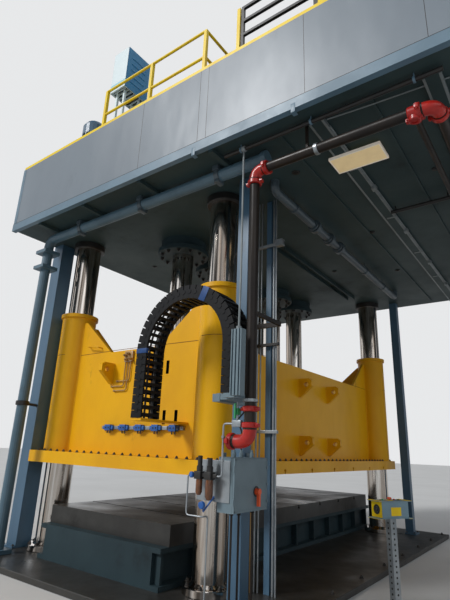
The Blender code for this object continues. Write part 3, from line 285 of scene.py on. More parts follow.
dress(oilySteel, "foundation_plate", "bolster", "deck_floor", "lube_manifold")
dress(crownBlue, "bed", *named("cylinder_", numbers))
dress(soffitGrey, "deck_frame", "crown")
dress(lineGrey, "return_pipe")
dress(lineBlue, "pressure_pipe")
dress(slideYellow, "slide", "slide_plate")
dress(panelGrey, "right_panel", "rear_panel", *named("front_panel_", numbers))
dress(trimBlue, "deck_edge_trim")
dress(railYellow, "handrail")
dress(postBlue, "utility_channel", "pump_motor", "oil_tank", *named("post_", corners))
dress(pipeBlack, "water_pipe")
dress(zincGrey, "station_pedestal")
dress(boxGrey, "control_cabinet", "cabinet_door", "carrier_bracket")
dress(handleOrange, "disconnect_handle", "stop_button")
dress(stationGrey, "station_box")
dress(buttonBlack, "palm_button_left", "palm_button_right")
dress(coolerWhite, "cooler_cabinet")
dress(lampCream, "work_light")
dress(collarBlack, "deck_gate", *named("column_collar_", corners), *named("column_nut_", corners))
dress(chainBlack, "cable_carrier")
dress(chromePaintedStreaks, *named("column_", corners), *named("ram_", numbers))
print("frame dressed")


# shapes: each adds one closed form to a builder
def skin(builder, rings):
    for lower, upper in zip(rings, rings[1:]):
        if lower[0] is lower[1] and upper[0] is upper[1]:
            continue
        for step in range(len(lower)):
            after = (step + 1) % len(lower)
            face = (lower[step], lower[after], upper[after], upper[step])
            builder.faces.new(list(dict.fromkeys(face)))


def lathe(builder, profile, centre=(0, 0, 0), sides=48, turn=None):
    rings = []
    turn = turn or Matrix.Identity(4)
    for radius, height in profile:
        if radius == 0:
            rings.append([builder.verts.new(Vector(centre) + turn @ Vector((0, 0, height)))] * sides)
            continue
        rounds = [2 * pi * step / sides for step in range(sides)]
        spots = [Vector((radius * cos(angle), radius * sin(angle), height)) for angle in rounds]
        rings.append([builder.verts.new(Vector(centre) + turn @ spot) for spot in spots])
    skin(builder, rings + rings[:1])


def slab(builder, low, high, bevel=0.0, turn=None):
    made = bmesh.ops.create_cube(builder, size=1.0)["verts"]
    size = Vector(high) - Vector(low)
    centre = (Vector(high) + Vector(low)) / 2
    bmesh.ops.scale(builder, vec=size, verts=made)
    if bevel:
        edges = list({edge for vert in made for edge in vert.link_edges})
        eased = {"offset": bevel, "segments": 2, "affect": "EDGES", "profile": 0.6}
        made = bmesh.ops.bevel(builder, geom=edges, **eased)["verts"]
    bmesh.ops.translate(builder, vec=centre, verts=made)
    if turn:
        bmesh.ops.transform(builder, matrix=turn, verts=made)


def tube(builder, points, radius, sides=12):
    points = [Vector(point) for point in points]
    side = None
    rings = []
    for index, point in enumerate(points):
        ahead = (points[min(index + 1, len(points) - 1)] - points[max(index - 1, 0)]).normalized()
        side = side or ahead.orthogonal().normalized()
        side = (side - ahead * side.dot(ahead)).normalized()
        other = ahead.cross(side)
        rounds = [2 * pi * step / sides for step in range(sides)]
        spots = [point + (side * cos(angle) + other * sin(angle)) * radius for angle in rounds]
        rings.append([builder.verts.new(spot) for spot in spots])
    skin(builder, rings)
    builder.faces.new(rings[0])
    builder.faces.new(rings[-1])


def upright(builder, x, y, low, high, radius, sides=8):
    tube(builder, [(x, y, low), (x, y, high)], radius, sides)


def bent(points, bend, steps=6):
    route = [Vector(points[0])]
    for before, corner, after in zip(points, points[1:], points[2:]):
        corner = Vector(corner)
        start = corner + (Vector(before) - corner).normalized() * bend
        stop = corner + (Vector(after) - corner).normalized() * bend
        for step in range(steps + 1):
            share = step / steps
            route.append(start.lerp(corner, share).lerp(corner.lerp(stop, share), share))
    route.append(Vector(points[-1]))
    return route


def aimed(direction):
    return Vector(direction).to_track_quat("Z", "Y").to_matrix()


def flange(inner, outer, low, high, edge):  # a profile with both outer corners eased
    return [
        (inner, low), (outer - edge, low), (outer, low + edge),
        (outer, high - edge), (outer - edge, high), (inner, high),
    ]


def ring(builder, centre, direction, inner, outer, width, edge=0.004, sides=40):
    lathe(builder, flange(inner, outer, -width / 2, width / 2, edge), centre, sides, aimed(direction))


def disc(builder, centre, direction, radius, height, edge=0.002, sides=32):
    profile = [(0, 0), (radius, 0), (radius, height - edge), (radius - edge, height), (0, height)]
    lathe(builder, profile, centre, sides, aimed(direction))


coupler = {
    "seat": 0.9, "wall": 0.022, "width": 0.056, "edge": 0.008, "ear": (0.008, 0.048),
    "earHalf": (0.024, 0.020),
    "earEdge": 0.004, "boltOut": 0.030, "boltFrom": -0.036, "bolt": (0.010, 0.072, 0.002, 12),
}


def coupling(builder, centre, direction, radius):
    outer = radius + coupler["wall"]
    ring(builder, centre, direction, radius * coupler["seat"], outer, coupler["width"], coupler["edge"])
    place = Matrix.Translation(centre) @ aimed(direction).to_4x4()
    across, deep = coupler["earHalf"]
    for sign in (-1, 1):
        near, far = sorted(sign * (radius + reach) for reach in coupler["ear"])
        slab(builder, (near, -across, -deep), (far, across, deep), coupler["earEdge"], place)
        bolt = place @ Vector((sign * (radius + coupler["boltOut"]), coupler["boltFrom"], 0))
        disc(builder, bolt, place.to_3x3() @ Vector(axisY), *coupler["bolt"])


def assemble(name, body, forms, smooth=True):  # forms by finish: {finish: [(shape, its values), ...]}
    builder = bmesh.new()
    start = 0
    for index, group in enumerate(forms.values()):
        for shape, *values in group:
            shape(builder, *values)
        builder.faces.ensure_lookup_table()
        for face in builder.faces[start:]:
            face.material_index = index
        start = len(builder.faces)
    bmesh.ops.recalc_face_normals(builder, faces=builder.faces)
    mesh = bpy.data.meshes.new(name)
    builder.to_mesh(mesh)
    builder.free()
    if smooth:
        mesh.shade_smooth()
        mesh.set_sharp_from_angle(angle=radians(38))
    for finish in forms:
        mesh.materials.append(finish)
    piece = linked(name, mesh)
    if body:
        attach(piece, body)
    return piece


def standIn(name, body, forms, node):
    piece = assemble(name, body, forms)
    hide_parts(node)


def middle(low, high, z=0):
    return ((low.x + high.x) / 2, (low.y + high.y) / 2, z)


# Geometry Nodes: what both trees share, from the named inputs to the painted result
def startTree(name, sizes, result):
    tree = bpy.data.node_groups.new(name, "GeometryNodeTree")
    socket = tree.interface.new_socket
    socket("Points", in_out="INPUT", socket_type="NodeSocketGeometry")
    for label, value in sizes.items():
        socket(label, in_out="INPUT", socket_type="NodeSocketFloat").default_value = value
    socket("finish", in_out="INPUT", socket_type="NodeSocketMaterial")
    socket(result, in_out="OUTPUT", socket_type="NodeSocketGeometry")
    return tree, addNode(tree, "NodeGroupInput").outputs, addNode(tree, "GeometryNodeJoinGeometry")


def endTree(tree, given, join, values):
    values = {"Points": given["Points"], "Instance": join.outputs[0], **values}
    placed = addNode(tree, "GeometryNodeInstanceOnPoints", values)
    real = addNode(tree, "GeometryNodeRealizeInstances", {0: placed.outputs[0]})
    painted = {"Geometry": real.outputs[0], "Material": given["finish"]}
    paint = addNode(tree, "GeometryNodeSetMaterial", painted)
    addNode(tree, "NodeGroupOutput", {0: paint.outputs[0]})
    return tree


def attribute(tree, name, kind="FLOAT_VECTOR"):
    node = addNode(tree, "GeometryNodeInputNamedAttribute", {"Name": name}, data_type=kind)
    return node.outputs["Attribute"]


def times(tree, value, factor, plus=0.0):
    values = {0: value, 1: factor, 2: plus}
    return addNode(tree, "ShaderNodeMath", values, operation="MULTIPLY_ADD").outputs[0]


def joined(tree, x, y, z):
    return addNode(tree, "ShaderNodeCombineXYZ", {0: x, 1: y, 2: z}).outputs[0]


def addPart(tree, join, form, spot, turn=(0, 0, 0)):
    values = {"Geometry": form.outputs["Mesh"], "Translation": spot, "Rotation": turn}
    tree.links.new(addNode(tree, "GeometryNodeTransform", values).outputs[0], join.inputs[0])


# hexagon bolts on washers, set on points that carry a facing and a size
boltForm = {
    "headRadius": 0.020, "headHeight": 0.018, "washerRadius": 0.027, "washerHeight": 0.005,
    "shankRadius": 0.011, "shankHeight": 0.012,
}
boltSides = {"washer": 16, "head": 6, "shank": 10}  # from the seat upwards


def boltTree():
    tree, given, join = startTree("hexBolts", boltForm, "Bolts")
    level = 0.0
    for label, sides in boltSides.items():
        height = given[label + "Height"]
        sizes = {"Vertices": sides, "Radius": given[label + "Radius"], "Depth": height}
        form = addNode(tree, "GeometryNodeMeshCylinder", sizes)
        addPart(tree, join, form, joined(tree, 0.0, 0.0, times(tree, height, 0.5, level)))
        level = times(tree, height, 1.0, level)
    facing = {"Vector": attribute(tree, "facing")}
    aim = addNode(tree, "FunctionNodeAlignRotationToVector", facing, axis="Z")
    values = {"Rotation": aim.outputs["Rotation"], "Scale": attribute(tree, "size", "FLOAT")}
    return endTree(tree, given, join, values)


def pointCloud(name, spots):
    mesh = bpy.data.meshes.new(name)
    mesh.from_pydata([spot[0] for spot in spots], [], [])
    mesh.attributes.new("facing", "FLOAT_VECTOR", "POINT")
    mesh.attributes.new("size", "FLOAT", "POINT")
    for index, spot in enumerate(spots):
        mesh.attributes["facing"].data[index].vector = spot[1]
        mesh.attributes["size"].data[index].value = spot[2]
    return linked(name, mesh)


def grow(holder, tree, values):
    modifier = holder.modifiers.new("grow", "NODES")
    modifier.node_group = tree
    for item in tree.interface.items_tree:
        if item.in_out == "INPUT" and item.name in values:
            modifier[item.identifier] = values[item.name]
    graph = bpy.context.evaluated_depsgraph_get()
    mesh = bpy.data.meshes.new_from_object(holder.evaluated_get(graph))
    holder.modifiers.remove(modifier)
    holder.data = mesh
    return holder


# bright columns and rams, turned smooth over their solids
column = {
    "radius": 0.225, "footRadius": 0.34, "footHeight": 0.09, "footEdge": 0.008,
    "neck": 0.03, "neckUp": 0.004, "chamfer": 0.012, "sides": 96,
}
ram = {"radius": 0.198, "flange": 0.27, "flangeHeight": 0.07, "edge": 0.008, "tip": 0.01, "sides": 80}


def makeColumns():
    radius, neck, chamfer = column["radius"], column["neck"], column["chamfer"]
    for corner in corners:
        node = "column_" + corner
        low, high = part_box(node)
        top = low.z + column["footHeight"]
        profile = flange(0, column["footRadius"], low.z, top, column["footEdge"])[:-1]
        top += column["neckUp"]
        profile += [
            (radius + neck, top), (radius, top + neck),
            (radius, high.z - chamfer), (radius - chamfer, high.z), (0, high.z),
        ]
        forms = {chromePaintedStreaks: [(lathe, profile, middle(low, high), column["sides"])]}
        standIn("chromeColumn_" + corner, "press", forms, node)


def makeRams():
    radius, edge, tip = ram["radius"], ram["edge"], ram["tip"]
    for number in numbers:
        node = "ram_" + number
        low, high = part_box(node)
        top = low.z + ram["flangeHeight"]
        profile = [
            (0, low.z), (ram["flange"], low.z), (ram["flange"], top - edge), (ram["flange"] - edge, top),
            (radius + edge, top), (radius, top + edge), (radius, high.z - tip), (radius - tip, high.z),
            (0, high.z),
        ]
        forms = {chromePaintedStreaks: [(lathe, profile, middle(low, high), ram["sides"])]}
        standIn("chromeRam_" + number, "slide_body", forms, node)


makeColumns()
makeRams()
print("columns and rams turned")

# bolts of the fixed frame and of the slide: how many, on what circle, how large
boltRows = {
    "gland": (0.405, 12), "glandSize": 1.5, "foot": (0.295, 8), "footSize": 1.1, "footTurn": 0.3,
    "postEdge": 0.032, "postTop": 0.03, "postSize": 0.8, "floorEdge": 0.12, "floor": 8, "floorSize": 1.2,
    "end": 0.15, "flangeEdge": 0.07, "flangePitch": 0.17, "ram": (0.236, 12), "ramSize": 0.7,
}


def ringSpots(centre, radius, count, facing, size, start=0.0):
    spots = []
    for index in range(count):
        angle = start + 2 * pi * index / count
        spot = (centre[0] + radius * cos(angle), centre[1] + radius * sin(angle), centre[2])
        spots.append((spot, facing, size))
    return spots


def evenly(low, high, count):
    start, span = low + boltRows["end"], high - low - 2 * boltRows["end"]
    return [start + step * span / count for step in range(count + 1)]


def flangeRow(low, high):
    return evenly(low, high, int((high - low - 2 * boltRows["end"]) / boltRows["flangePitch"]))


def growBolts(name, body, spots, finish):
    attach(grow(pointCloud(name, spots), hexBolts, {"finish": finish}), body)


def makeBolts():
    under = []
    for number in numbers:
        low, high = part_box("cylinder_" + number)
        under += ringSpots(middle(low, high, low.z), *boltRows["gland"], down, boltRows["glandSize"])
    growBolts("glandScrews", "press", under, collarBlack)
    fixed = []
    for corner in corners:
        low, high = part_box("column_" + corner)
        centre = middle(low, high, low.z + column["footHeight"])
        fixed += ringSpots(centre, *boltRows["foot"], axisZ, boltRows["footSize"], boltRows["footTurn"])
        low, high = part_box("post_" + corner)
        edge, z = boltRows["postEdge"], low.z + boltRows["postTop"]
        for x in (low.x + edge, high.x - edge):
            fixed += [((x, y, z), axisZ, boltRows["postSize"]) for y in (low.y + edge, high.y - edge)]
    low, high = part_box("foundation_plate")
    rows = evenly(low.y, high.y, boltRows["floor"])
    for x in (low.x + boltRows["floorEdge"], high.x - boltRows["floorEdge"]):
        fixed += [((x, y, high.z), axisZ, boltRows["floorSize"]) for y in rows]
    growBolts("frameBolts", "press", fixed, boltSteel)
    low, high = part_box("slide_plate")
    edge = boltRows["flangeEdge"]
    sides, ends = (low.x + edge, high.x - edge), (low.y + edge, high.y - edge)
    moving = [((x, y, high.z), axisZ, 1.0) for y in flangeRow(low.y, high.y) for x in sides]
    moving += [((x, y, high.z), axisZ, 1.0) for x in flangeRow(low.x, high.x) for y in ends]
    for number in numbers:
        low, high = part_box("ram_" + number)
        centre = middle(low, high, low.z + ram["flangeHeight"])
        moving += ringSpots(centre, *boltRows["ram"], axisZ, boltRows["ramSize"])
    growBolts("slideBolts", "slide_body", moving, boltSteel)


hexBolts = boltTree()
makeBolts()
print("bolts grown")

# the cable carrier: open links along the loop, with the lines inside it
carrier = {
    "left": 1.15, "radius": 0.695, "centreZ": 2.895, "leftEnd": 2.06, "rightEnd": 2.32, "front": -4.125,
    "width": 0.33, "height": 0.175, "links": 38,
    "still": (2.44, -3.96, 3.0), "moving": (1.25, -3.96, 3.0),  # the run that stays, the run that goes along
    "lines": ((-0.112, 0.01, 0.020), (0.0, 0.02, 0.014), (0.112, 0.0, 0.022)), "lineSteps": 60,
    "tapes": ((0.235, 0.032), (0.622, 0.050)), "tapeFrom": (-0.1708, -0.0915), "tapeTo": (-0.128, 0.0915),
}


def carrierStation(distance):
    radius, centreZ = carrier["radius"], carrier["centreZ"]
    leftRun = centreZ - carrier["leftEnd"]
    centreX = carrier["left"] + radius
    if distance <= leftRun:
        return Vector((carrier["left"], 0, carrier["leftEnd"] + distance)), Vector(axisZ), Vector((-1, 0, 0))
    if distance <= leftRun + pi * radius:
        angle = (distance - leftRun) / radius
        outward = Vector((-cos(angle), 0, sin(angle)))
        return Vector((centreX, 0, centreZ)) + outward * radius, Vector((sin(angle), 0, cos(angle))), outward
    rest = distance - leftRun - pi * radius
    return Vector((centreX + radius, 0, centreZ - rest)), Vector(down), Vector(axisX)


# one link: X runs along the chain, Y across it, Z outwards, with shares of its pitch, cheek and height
linkForm = {
    "pitch": 0.1229, "height": carrier["height"], "width": carrier["width"], "cheek": 0.030,
    "bar": 0.036, "barDepth": 0.018, "pinRadius": 0.030,
}
linkShare = {
    "cheek": 0.93, "lapHeight": 0.72, "lapIn": 1.2, "pinIn": 0.6, "pin": 1.5, "bar": 0.94, "barOut": 0.46,
}


def linkTree():
    tree, given, join = startTree("carrierLinks", linkForm, "Links")
    pitch, height, width, cheek = (given[label] for label in ("pitch", "height", "width", "cheek"))
    ahead = times(tree, pitch, 0.5)

    def addBox(x, y, z, spot):
        addPart(tree, join, addNode(tree, "GeometryNodeMeshCube", {"Size": joined(tree, x, y, z)}), spot)

    def inwards(sign, share):
        return times(tree, width, 0.5 * sign, times(tree, cheek, -share * sign))

    for sign in (-1.0, 1.0):
        reach = times(tree, pitch, linkShare["cheek"])
        addBox(reach, cheek, height, joined(tree, 0.0, inwards(sign, 0.5), 0.0))
        half, tall = times(tree, cheek, 0.5), times(tree, height, linkShare["lapHeight"])
        addBox(ahead, half, tall, joined(tree, ahead, inwards(sign, linkShare["lapIn"]), 0.0))
        sizes = {"Vertices": 14, "Radius": given["pinRadius"], "Depth": times(tree, cheek, linkShare["pin"])}
        pin = addNode(tree, "GeometryNodeMeshCylinder", sizes)
        addPart(tree, join, pin, joined(tree, ahead, inwards(sign, linkShare["pinIn"]), 0.0), (pi / 2, 0, 0))
        across, out = times(tree, width, linkShare["bar"]), times(tree, height, linkShare["barOut"] * sign)
        addBox(given["bar"], across, given["barDepth"], joined(tree, 0.0, 0.0, out))
    ways = {"Primary Axis": attribute(tree, "facing"), "Secondary Axis": attribute(tree, "along")}
    aim = addNode(tree, "FunctionNodeAxesToRotation", ways, primary_axis="Z", secondary_axis="X")
    return endTree(tree, given, join, {"Rotation": aim.outputs["Rotation"]})


def makeCarrier():
    straight = 2 * carrier["centreZ"] - carrier["leftEnd"] - carrier["rightEnd"]
    length = straight + pi * carrier["radius"]
    pitch = length / carrier["links"]
    middleY = carrier["front"] + carrier["width"] / 2
    stations = [carrierStation((index + 0.5) * pitch) for index in range(carrier["links"])]
    spots = [((point.x, middleY, point.z), outward, 1.0) for point, _, outward in stations]
    chain = pointCloud("carrierChain", spots)
    along = chain.data.attributes.new("along", "FLOAT_VECTOR", "POINT")
    for index, (_, forward, _) in enumerate(stations):
        along.data[index].vector = forward
    grow(chain, linkTree(), {"finish": chainBlack, "pitch": pitch})
    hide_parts("cable_carrier")
    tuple(carrier["still"])
    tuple(carrier["moving"])
    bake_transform(chain)
    lines = []
    steps = carrier["lineSteps"]
    for offset, depth, radius in carrier["lines"]:
        route = []
        for step in range(steps + 1):
            point, _, outward = carrierStation(length * step / steps)
            route.append((point.x + outward.x * depth, middleY + offset, point.z + outward.z * depth))
        lines.append((tube, route, radius, 10))
    hoses = assemble("carrierLines", None, {buttonBlack: lines})
    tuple(carrier["still"])
    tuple(carrier["moving"])
    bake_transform(hoses)
    wraps = []
    for share, reach in carrier["tapes"]:
        point, forward, outward = carrierStation(length * share)
        turn = Matrix((forward, outward.cross(forward), outward)).transposed().to_4x4()
        turn.translation = (point.x, middleY, point.z)
        wraps.append((slab, (-reach, *carrier["tapeFrom"]), (reach, *carrier["tapeTo"]), 0.003, turn))
    tapes = assemble("carrierTapes", None, {tapeBlue: wraps})
    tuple(carrier["still"])
    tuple(carrier["moving"])
    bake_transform(tapes)


makeCarrier()
print("cable carrier linked")

# turned parts that sit over the faceted solids of the same name
cylinder = {
    "bore": 0.2, "foot": 0.480, "footHeight": 0.10, "neck": 0.425, "neckTop": 0.2597, "barrel": 0.340,
    "collar": 0.440, "collarLow": 6.4303, "collarHeight": 0.14, "edge": 0.008, "dome": 0.06, "lid": 0.10,
    "sides": 80,
}
collar = {"bore": 0.2253, "collar": 0.285, "nut": 0.35, "edge": 0.010, "sides": 72}


def makeTurned():
    bore, neck, barrel, edge = (cylinder[label] for label in ("bore", "neck", "barrel", "edge"))
    above = cylinder["collarLow"] + cylinder["collarHeight"]
    for number in numbers:
        node = "cylinder_" + number
        low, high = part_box(node)
        foot, top = low.z + cylinder["footHeight"], low.z + cylinder["neckTop"]
        profile = flange(bore, cylinder["foot"], low.z, foot, edge)[:-1]
        profile += [(neck, foot), (neck, top), (barrel, top)]
        profile += flange(barrel, cylinder["collar"], cylinder["collarLow"], above, edge)
        lid = high.z - cylinder["lid"]
        dome = cylinder["dome"]
        profile += [(barrel, high.z - dome), (barrel - dome, high.z), (0, high.z), (0, lid), (bore, lid)]
        forms = {crownBlue: [(lathe, profile, middle(low, high), cylinder["sides"])]}
        standIn("turnedCylinder_" + number, "press", forms, node)
    for corner in corners:
        for kind in ("collar", "nut"):
            node = "column_" + kind + "_" + corner
            low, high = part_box(node)
            profile = flange(collar["bore"], collar[kind], low.z, high.z, collar["edge"])
            forms = {collarBlack: [(lathe, profile, middle(low, high), collar["sides"])]}
            standIn("turned_" + node, "press", forms, node)


makeTurned()
print("turned parts made")

# the slide's round sleeves, weld beads, lug rings and marks
sleeve = {
    "x": 1.66, "y": 3.135, "radius": 0.3006, "wall": 0.004, "low": 1.5903, "ringLow": 3.905, "lift": 0.0008,
    "ringRadius": 0.3308, "top": 3.9706, "bore": 0.2285, "edge": 0.006, "topEdge": 0.008, "lid": 0.01,
    "sides": 112,
}
beads = {"front": (1.372, 3.221), "side": (1.601, 2.841), "low": 1.60, "high": 3.70, "radius": 0.011}
lug = {
    "endX": 0.46, "sideY": 0.60, "levels": (1.83, 2.83), "half": 0.16, "beadGap": 0.043, "bead": 0.008,
    "eyeUp": 0.055, "endEye": 3.38, "sideEye": 1.76, "ringGap": 0.046, "ring": (0.045, 0.082, 0.012, 0.003),
}
seamLine = {
    "z": 3.21, "out": 0.0005, "radius": 0.0045, "sides": 6, "side": (2.84, 1.73),
    "front": ((-1.37, 0), (-0.5, 0.012), (0.4, 0.008), (1.37, 0)), "from": -20, "over": 130, "steps": 24,
}
mirrors = [(x, y) for x in (-1, 1) for y in (-1, 1)]


def makeSleeves():
    radius, rim, top, bore = (sleeve[label] for label in ("radius", "ringRadius", "top", "bore"))
    inner, edge, topEdge = radius - sleeve["wall"], sleeve["edge"], sleeve["topEdge"]
    under, lid = sleeve["ringLow"] - sleeve["lift"], top - sleeve["lid"]
    profile = [
        (inner, sleeve["low"]), (radius, sleeve["low"]), (radius, under), (rim - edge, under),
        (rim, sleeve["ringLow"] + edge), (rim, top - topEdge), (rim - topEdge, top), (bore + edge, top),
        (bore, top - edge), (bore, lid), (inner, lid),
    ]
    places = [(x * sleeve["x"], y * sleeve["y"], 0) for x, y in corners.values()]
    forms = [(lathe, profile, place, sleeve["sides"]) for place in places]
    assemble("columnSleeves", "slide_body", {slideYellow: forms})


def makeBeads():
    welds = []
    for x, y in corners.values():
        for across, deep in (beads["front"], beads["side"]):
            welds.append((upright, x * across, y * deep, beads["low"], beads["high"], beads["radius"]))
    faceX, faceY = beads["side"][0], beads["front"][1]
    for y, x in mirrors:
        for gap in (lug["beadGap"], -lug["beadGap"]):
            spots = [(x * (lug["endX"] + gap), y * faceY, lug["levels"][1])]
            spots += [(x * faceX, y * (lug["sideY"] + gap), level) for level in lug["levels"]]
            for spotX, spotY, z in spots:
                welds.append((upright, spotX, spotY, z - lug["half"], z + lug["half"], lug["bead"]))
    assemble("weldBeads", "slide_body", {slideYellow: welds})


def makeSlideSeams():
    seams = []
    z, out = seamLine["z"], seamLine["out"]
    faceX, faceY, radius = beads["side"][0] + out, beads["front"][1] + out, sleeve["radius"] + out
    for y in (-1, 1):
        routes = [[(x, y * faceY, z + rise) for x, rise in seamLine["front"]]]
        for x in (-1, 1):
            sweep = []
            for step in range(seamLine["steps"] + 1):
                angle = radians(seamLine["from"] + seamLine["over"] * step / seamLine["steps"])
                across, deep = sleeve["x"] + radius * cos(angle), sleeve["y"] + radius * sin(angle)
                sweep.append((x * across, y * deep, z))
            routes += [sweep, [(x * faceX, y * end, z) for end in seamLine["side"]]]
        seams += [(tube, route, seamLine["radius"], seamLine["sides"]) for route in routes]
    assemble("slideSeams", "slide_body", {slideSeam: seams})


def makeLugRings():
    rings = []
    low, high = (level + lug["eyeUp"] for level in lug["levels"])
    for x, y in mirrors:
        for gap in (-lug["ringGap"], lug["ringGap"]):
            rings.append((ring, (x * (lug["endX"] + gap), y * lug["endEye"], high), axisX, *lug["ring"]))
            for z in (low, high):
                rings.append((ring, (x * lug["sideEye"], y * (lug["sideY"] + gap), z), axisY, *lug["ring"]))
    assemble("lugRings", "slide_body", {slideYellow: rings})


makeSleeves()
makeBeads()
makeSlideSeams()
makeLugRings()
print("slide sleeves and beads laid")

# small fittings on the slide's front: outlet blocks on their rail, bar handle, valve cluster, and black
# pocket walls that are painted shade
manifold = {
    "left": -0.51, "right": 1.19, "z": 1.98, "face": -3.2203, "blocks": 5, "railOut": 0.05, "railHalf": 0.025,
    "end": 0.03, "bolt": (0.012, 0.012, 0.002, 12), "body": (0.063, 0.09, 0.01, 0.045),
    "wing": (0.11, 0.075, 0.02, 0.028), "screw": 0.03, "nozzleDown": 0.04,
    "nozzle": (0.010, 0.045, 0.003, 12),
    "capOut": 0.089, "cap": (0.011, 0.010, 0.002, 12),
}
slideHandle = {
    "points": ((-1.10, -3.222, 3.33), (-1.10, -3.30, 3.33), (-0.80, -3.30, 3.29), (-0.80, -3.222, 3.29)),
    "bend": 0.03, "radius": 0.012,
}
cluster = {
    "plate": ((-0.16, -3.262, 3.00), (0.02, -3.2205, 3.17)), "edge": 0.004,
    "valves": ((-0.12, 3.10), (-0.05, 3.12), (-0.09, 3.03), (0.0, 3.04)),
    "body": (0.022, 0.045, 0.004, 14), "knob": (0.012, 0.03, 0.003, 10), "bodyY": -3.26, "knobY": -3.30,
    "tubes": ((-0.14, 2.62), (-0.07, 2.55), (-0.02, 2.70)), "tubeY": -3.245, "tubeTop": 3.02, "reach": 0.28,
    "bend": 0.05, "radius": 0.010, "endY": -3.2205, "end": (0.018, 0.035, 0.003, 12),
}
pocket = {
    "places": ((0.77, 2.86), (0.77, 2.133), (1.00, 2.133)), "wide": 0.0296, "tall": 0.0996, "skin": 0.0012,
    "face": -3.2185, "back": -3.105, "deepest": -3.1012,
}


def makeOutlets():
    left, right, z, face = (manifold[label] for label in ("left", "right", "z", "face"))
    front, half = face - manifold["railOut"], manifold["railHalf"]
    rail = [(slab, (left, front, z - half), (right, face, z + half), 0.004)]
    for x in (left + manifold["end"], right - manifold["end"]):
        rail.append((disc, (x, front, z), forwards, *manifold["bolt"]))
    pitch = (right - left) / manifold["blocks"]
    places = [left + (index + 0.5) * pitch for index in range(manifold["blocks"])]
    blocks, screws = [], []
    for x in places:
        for reach, out, back, tall in (manifold["body"], manifold["wing"]):
            near, far = (x - reach, face - out, z - tall), (x + reach, face - back, z + tall)
            blocks.append((slab, near, far, 0.006))
        for across in (x - manifold["screw"], x + manifold["screw"]):
            screws.append((disc, (across, front, z - manifold["nozzleDown"]), down, *manifold["nozzle"]))
            screws.append((disc, (across, face - manifold["capOut"], z), forwards, *manifold["cap"]))
    forms = {zincGrey: rail, valveBlue: blocks, boltSteel: screws}
    standIn("outletBlocks", "slide_body", forms, "lube_manifold")


def makeSlideFittings():
    route = bent(slideHandle["points"], slideHandle["bend"])
    assemble("barHandle", "slide_body", {slideYellow: [(tube, route, slideHandle["radius"], 10)]})
    fittings = []
    for x, z in cluster["valves"]:
        fittings.append((disc, (x, cluster["bodyY"], z), forwards, *cluster["body"]))
        fittings.append((disc, (x, cluster["knobY"], z), forwards, *cluster["knob"]))
    y = cluster["tubeY"]
    for x, low in cluster["tubes"]:
        end = x - cluster["reach"]
        route = bent([(x, y, cluster["tubeTop"]), (x, y, low), (end, y, low)], cluster["bend"])
        fittings.append((tube, route, cluster["radius"], 8))
        fittings.append((disc, (end, cluster["endY"], low), forwards, *cluster["end"]))
    plate = [(slab, *cluster["plate"], cluster["edge"])]
    assemble("valveCluster", "slide_body", {zincGrey: plate, copperTube: fittings})
    # the pocket walls are black: painted shade inside the recesses
    paintedShadeWalls = []
    wide, tall, skinDepth = pocket["wide"], pocket["tall"], pocket["skin"]
    face, back = pocket["face"], pocket["back"]
    for x, z in pocket["places"]:
        paintedShadeWalls.append((slab, (x - wide, back, z - tall), (x + wide, pocket["deepest"], z + tall)))
        for side in (-1, 1):
            near, far = sorted((side * (wide - skinDepth), side * wide))
            paintedShadeWalls.append((slab, (x + near, face, z - tall), (x + far, back, z + tall)))
            near, far = sorted((side * (tall - skinDepth), side * tall))
            inner = wide - skinDepth
            paintedShadeWalls.append((slab, (x - inner, face, z + near), (x + inner, back, z + far)))
    assemble("pocketPaintedShade", "slide_body", {collarBlack: paintedShadeWalls}, False)


makeOutlets()
makeSlideFittings()
print("slide fittings made")

# the water line's black tubes, red grooved elbows, tee and couplings, and bright rings
waterLine = {
    "y": -4.02, "z": 5.06, "riserX": 2.78, "endX": 4.90, "teeX": 4.69, "lowZ": 1.82, "outletX": 2.55,
    "farY": 1.46, "wide": 0.060, "runWide": 0.054, "branch": 0.034, "reach": 0.165, "branchFrom": 0.05,
    "bend": 0.13, "elbow": 0.072, "elbowClamp": 0.066, "tee": (0.059, 0.074, 0.12, 0.010),
    "stub": (0.040, 0.075, 0.006, 24), "stubDown": 0.02, "capDown": 0.075, "cap": 0.036,
    "teeOut": 0.10, "riserClampZ": 2.152, "riserClamp": 0.062,
    "riserRingZ": 2.24, "riserRing": (0.0595, 0.082, 0.035, 0.004),
    "runRingX": 3.62, "runRing": (0.0595, 0.069, 0.045, 0.004), "hangers": (-1.60, 0.60),
    "endRing": (0.0535, 0.062, 0.030, 0.003), "teeRing": (0.0335, 0.040, 0.030, 0.003),
}


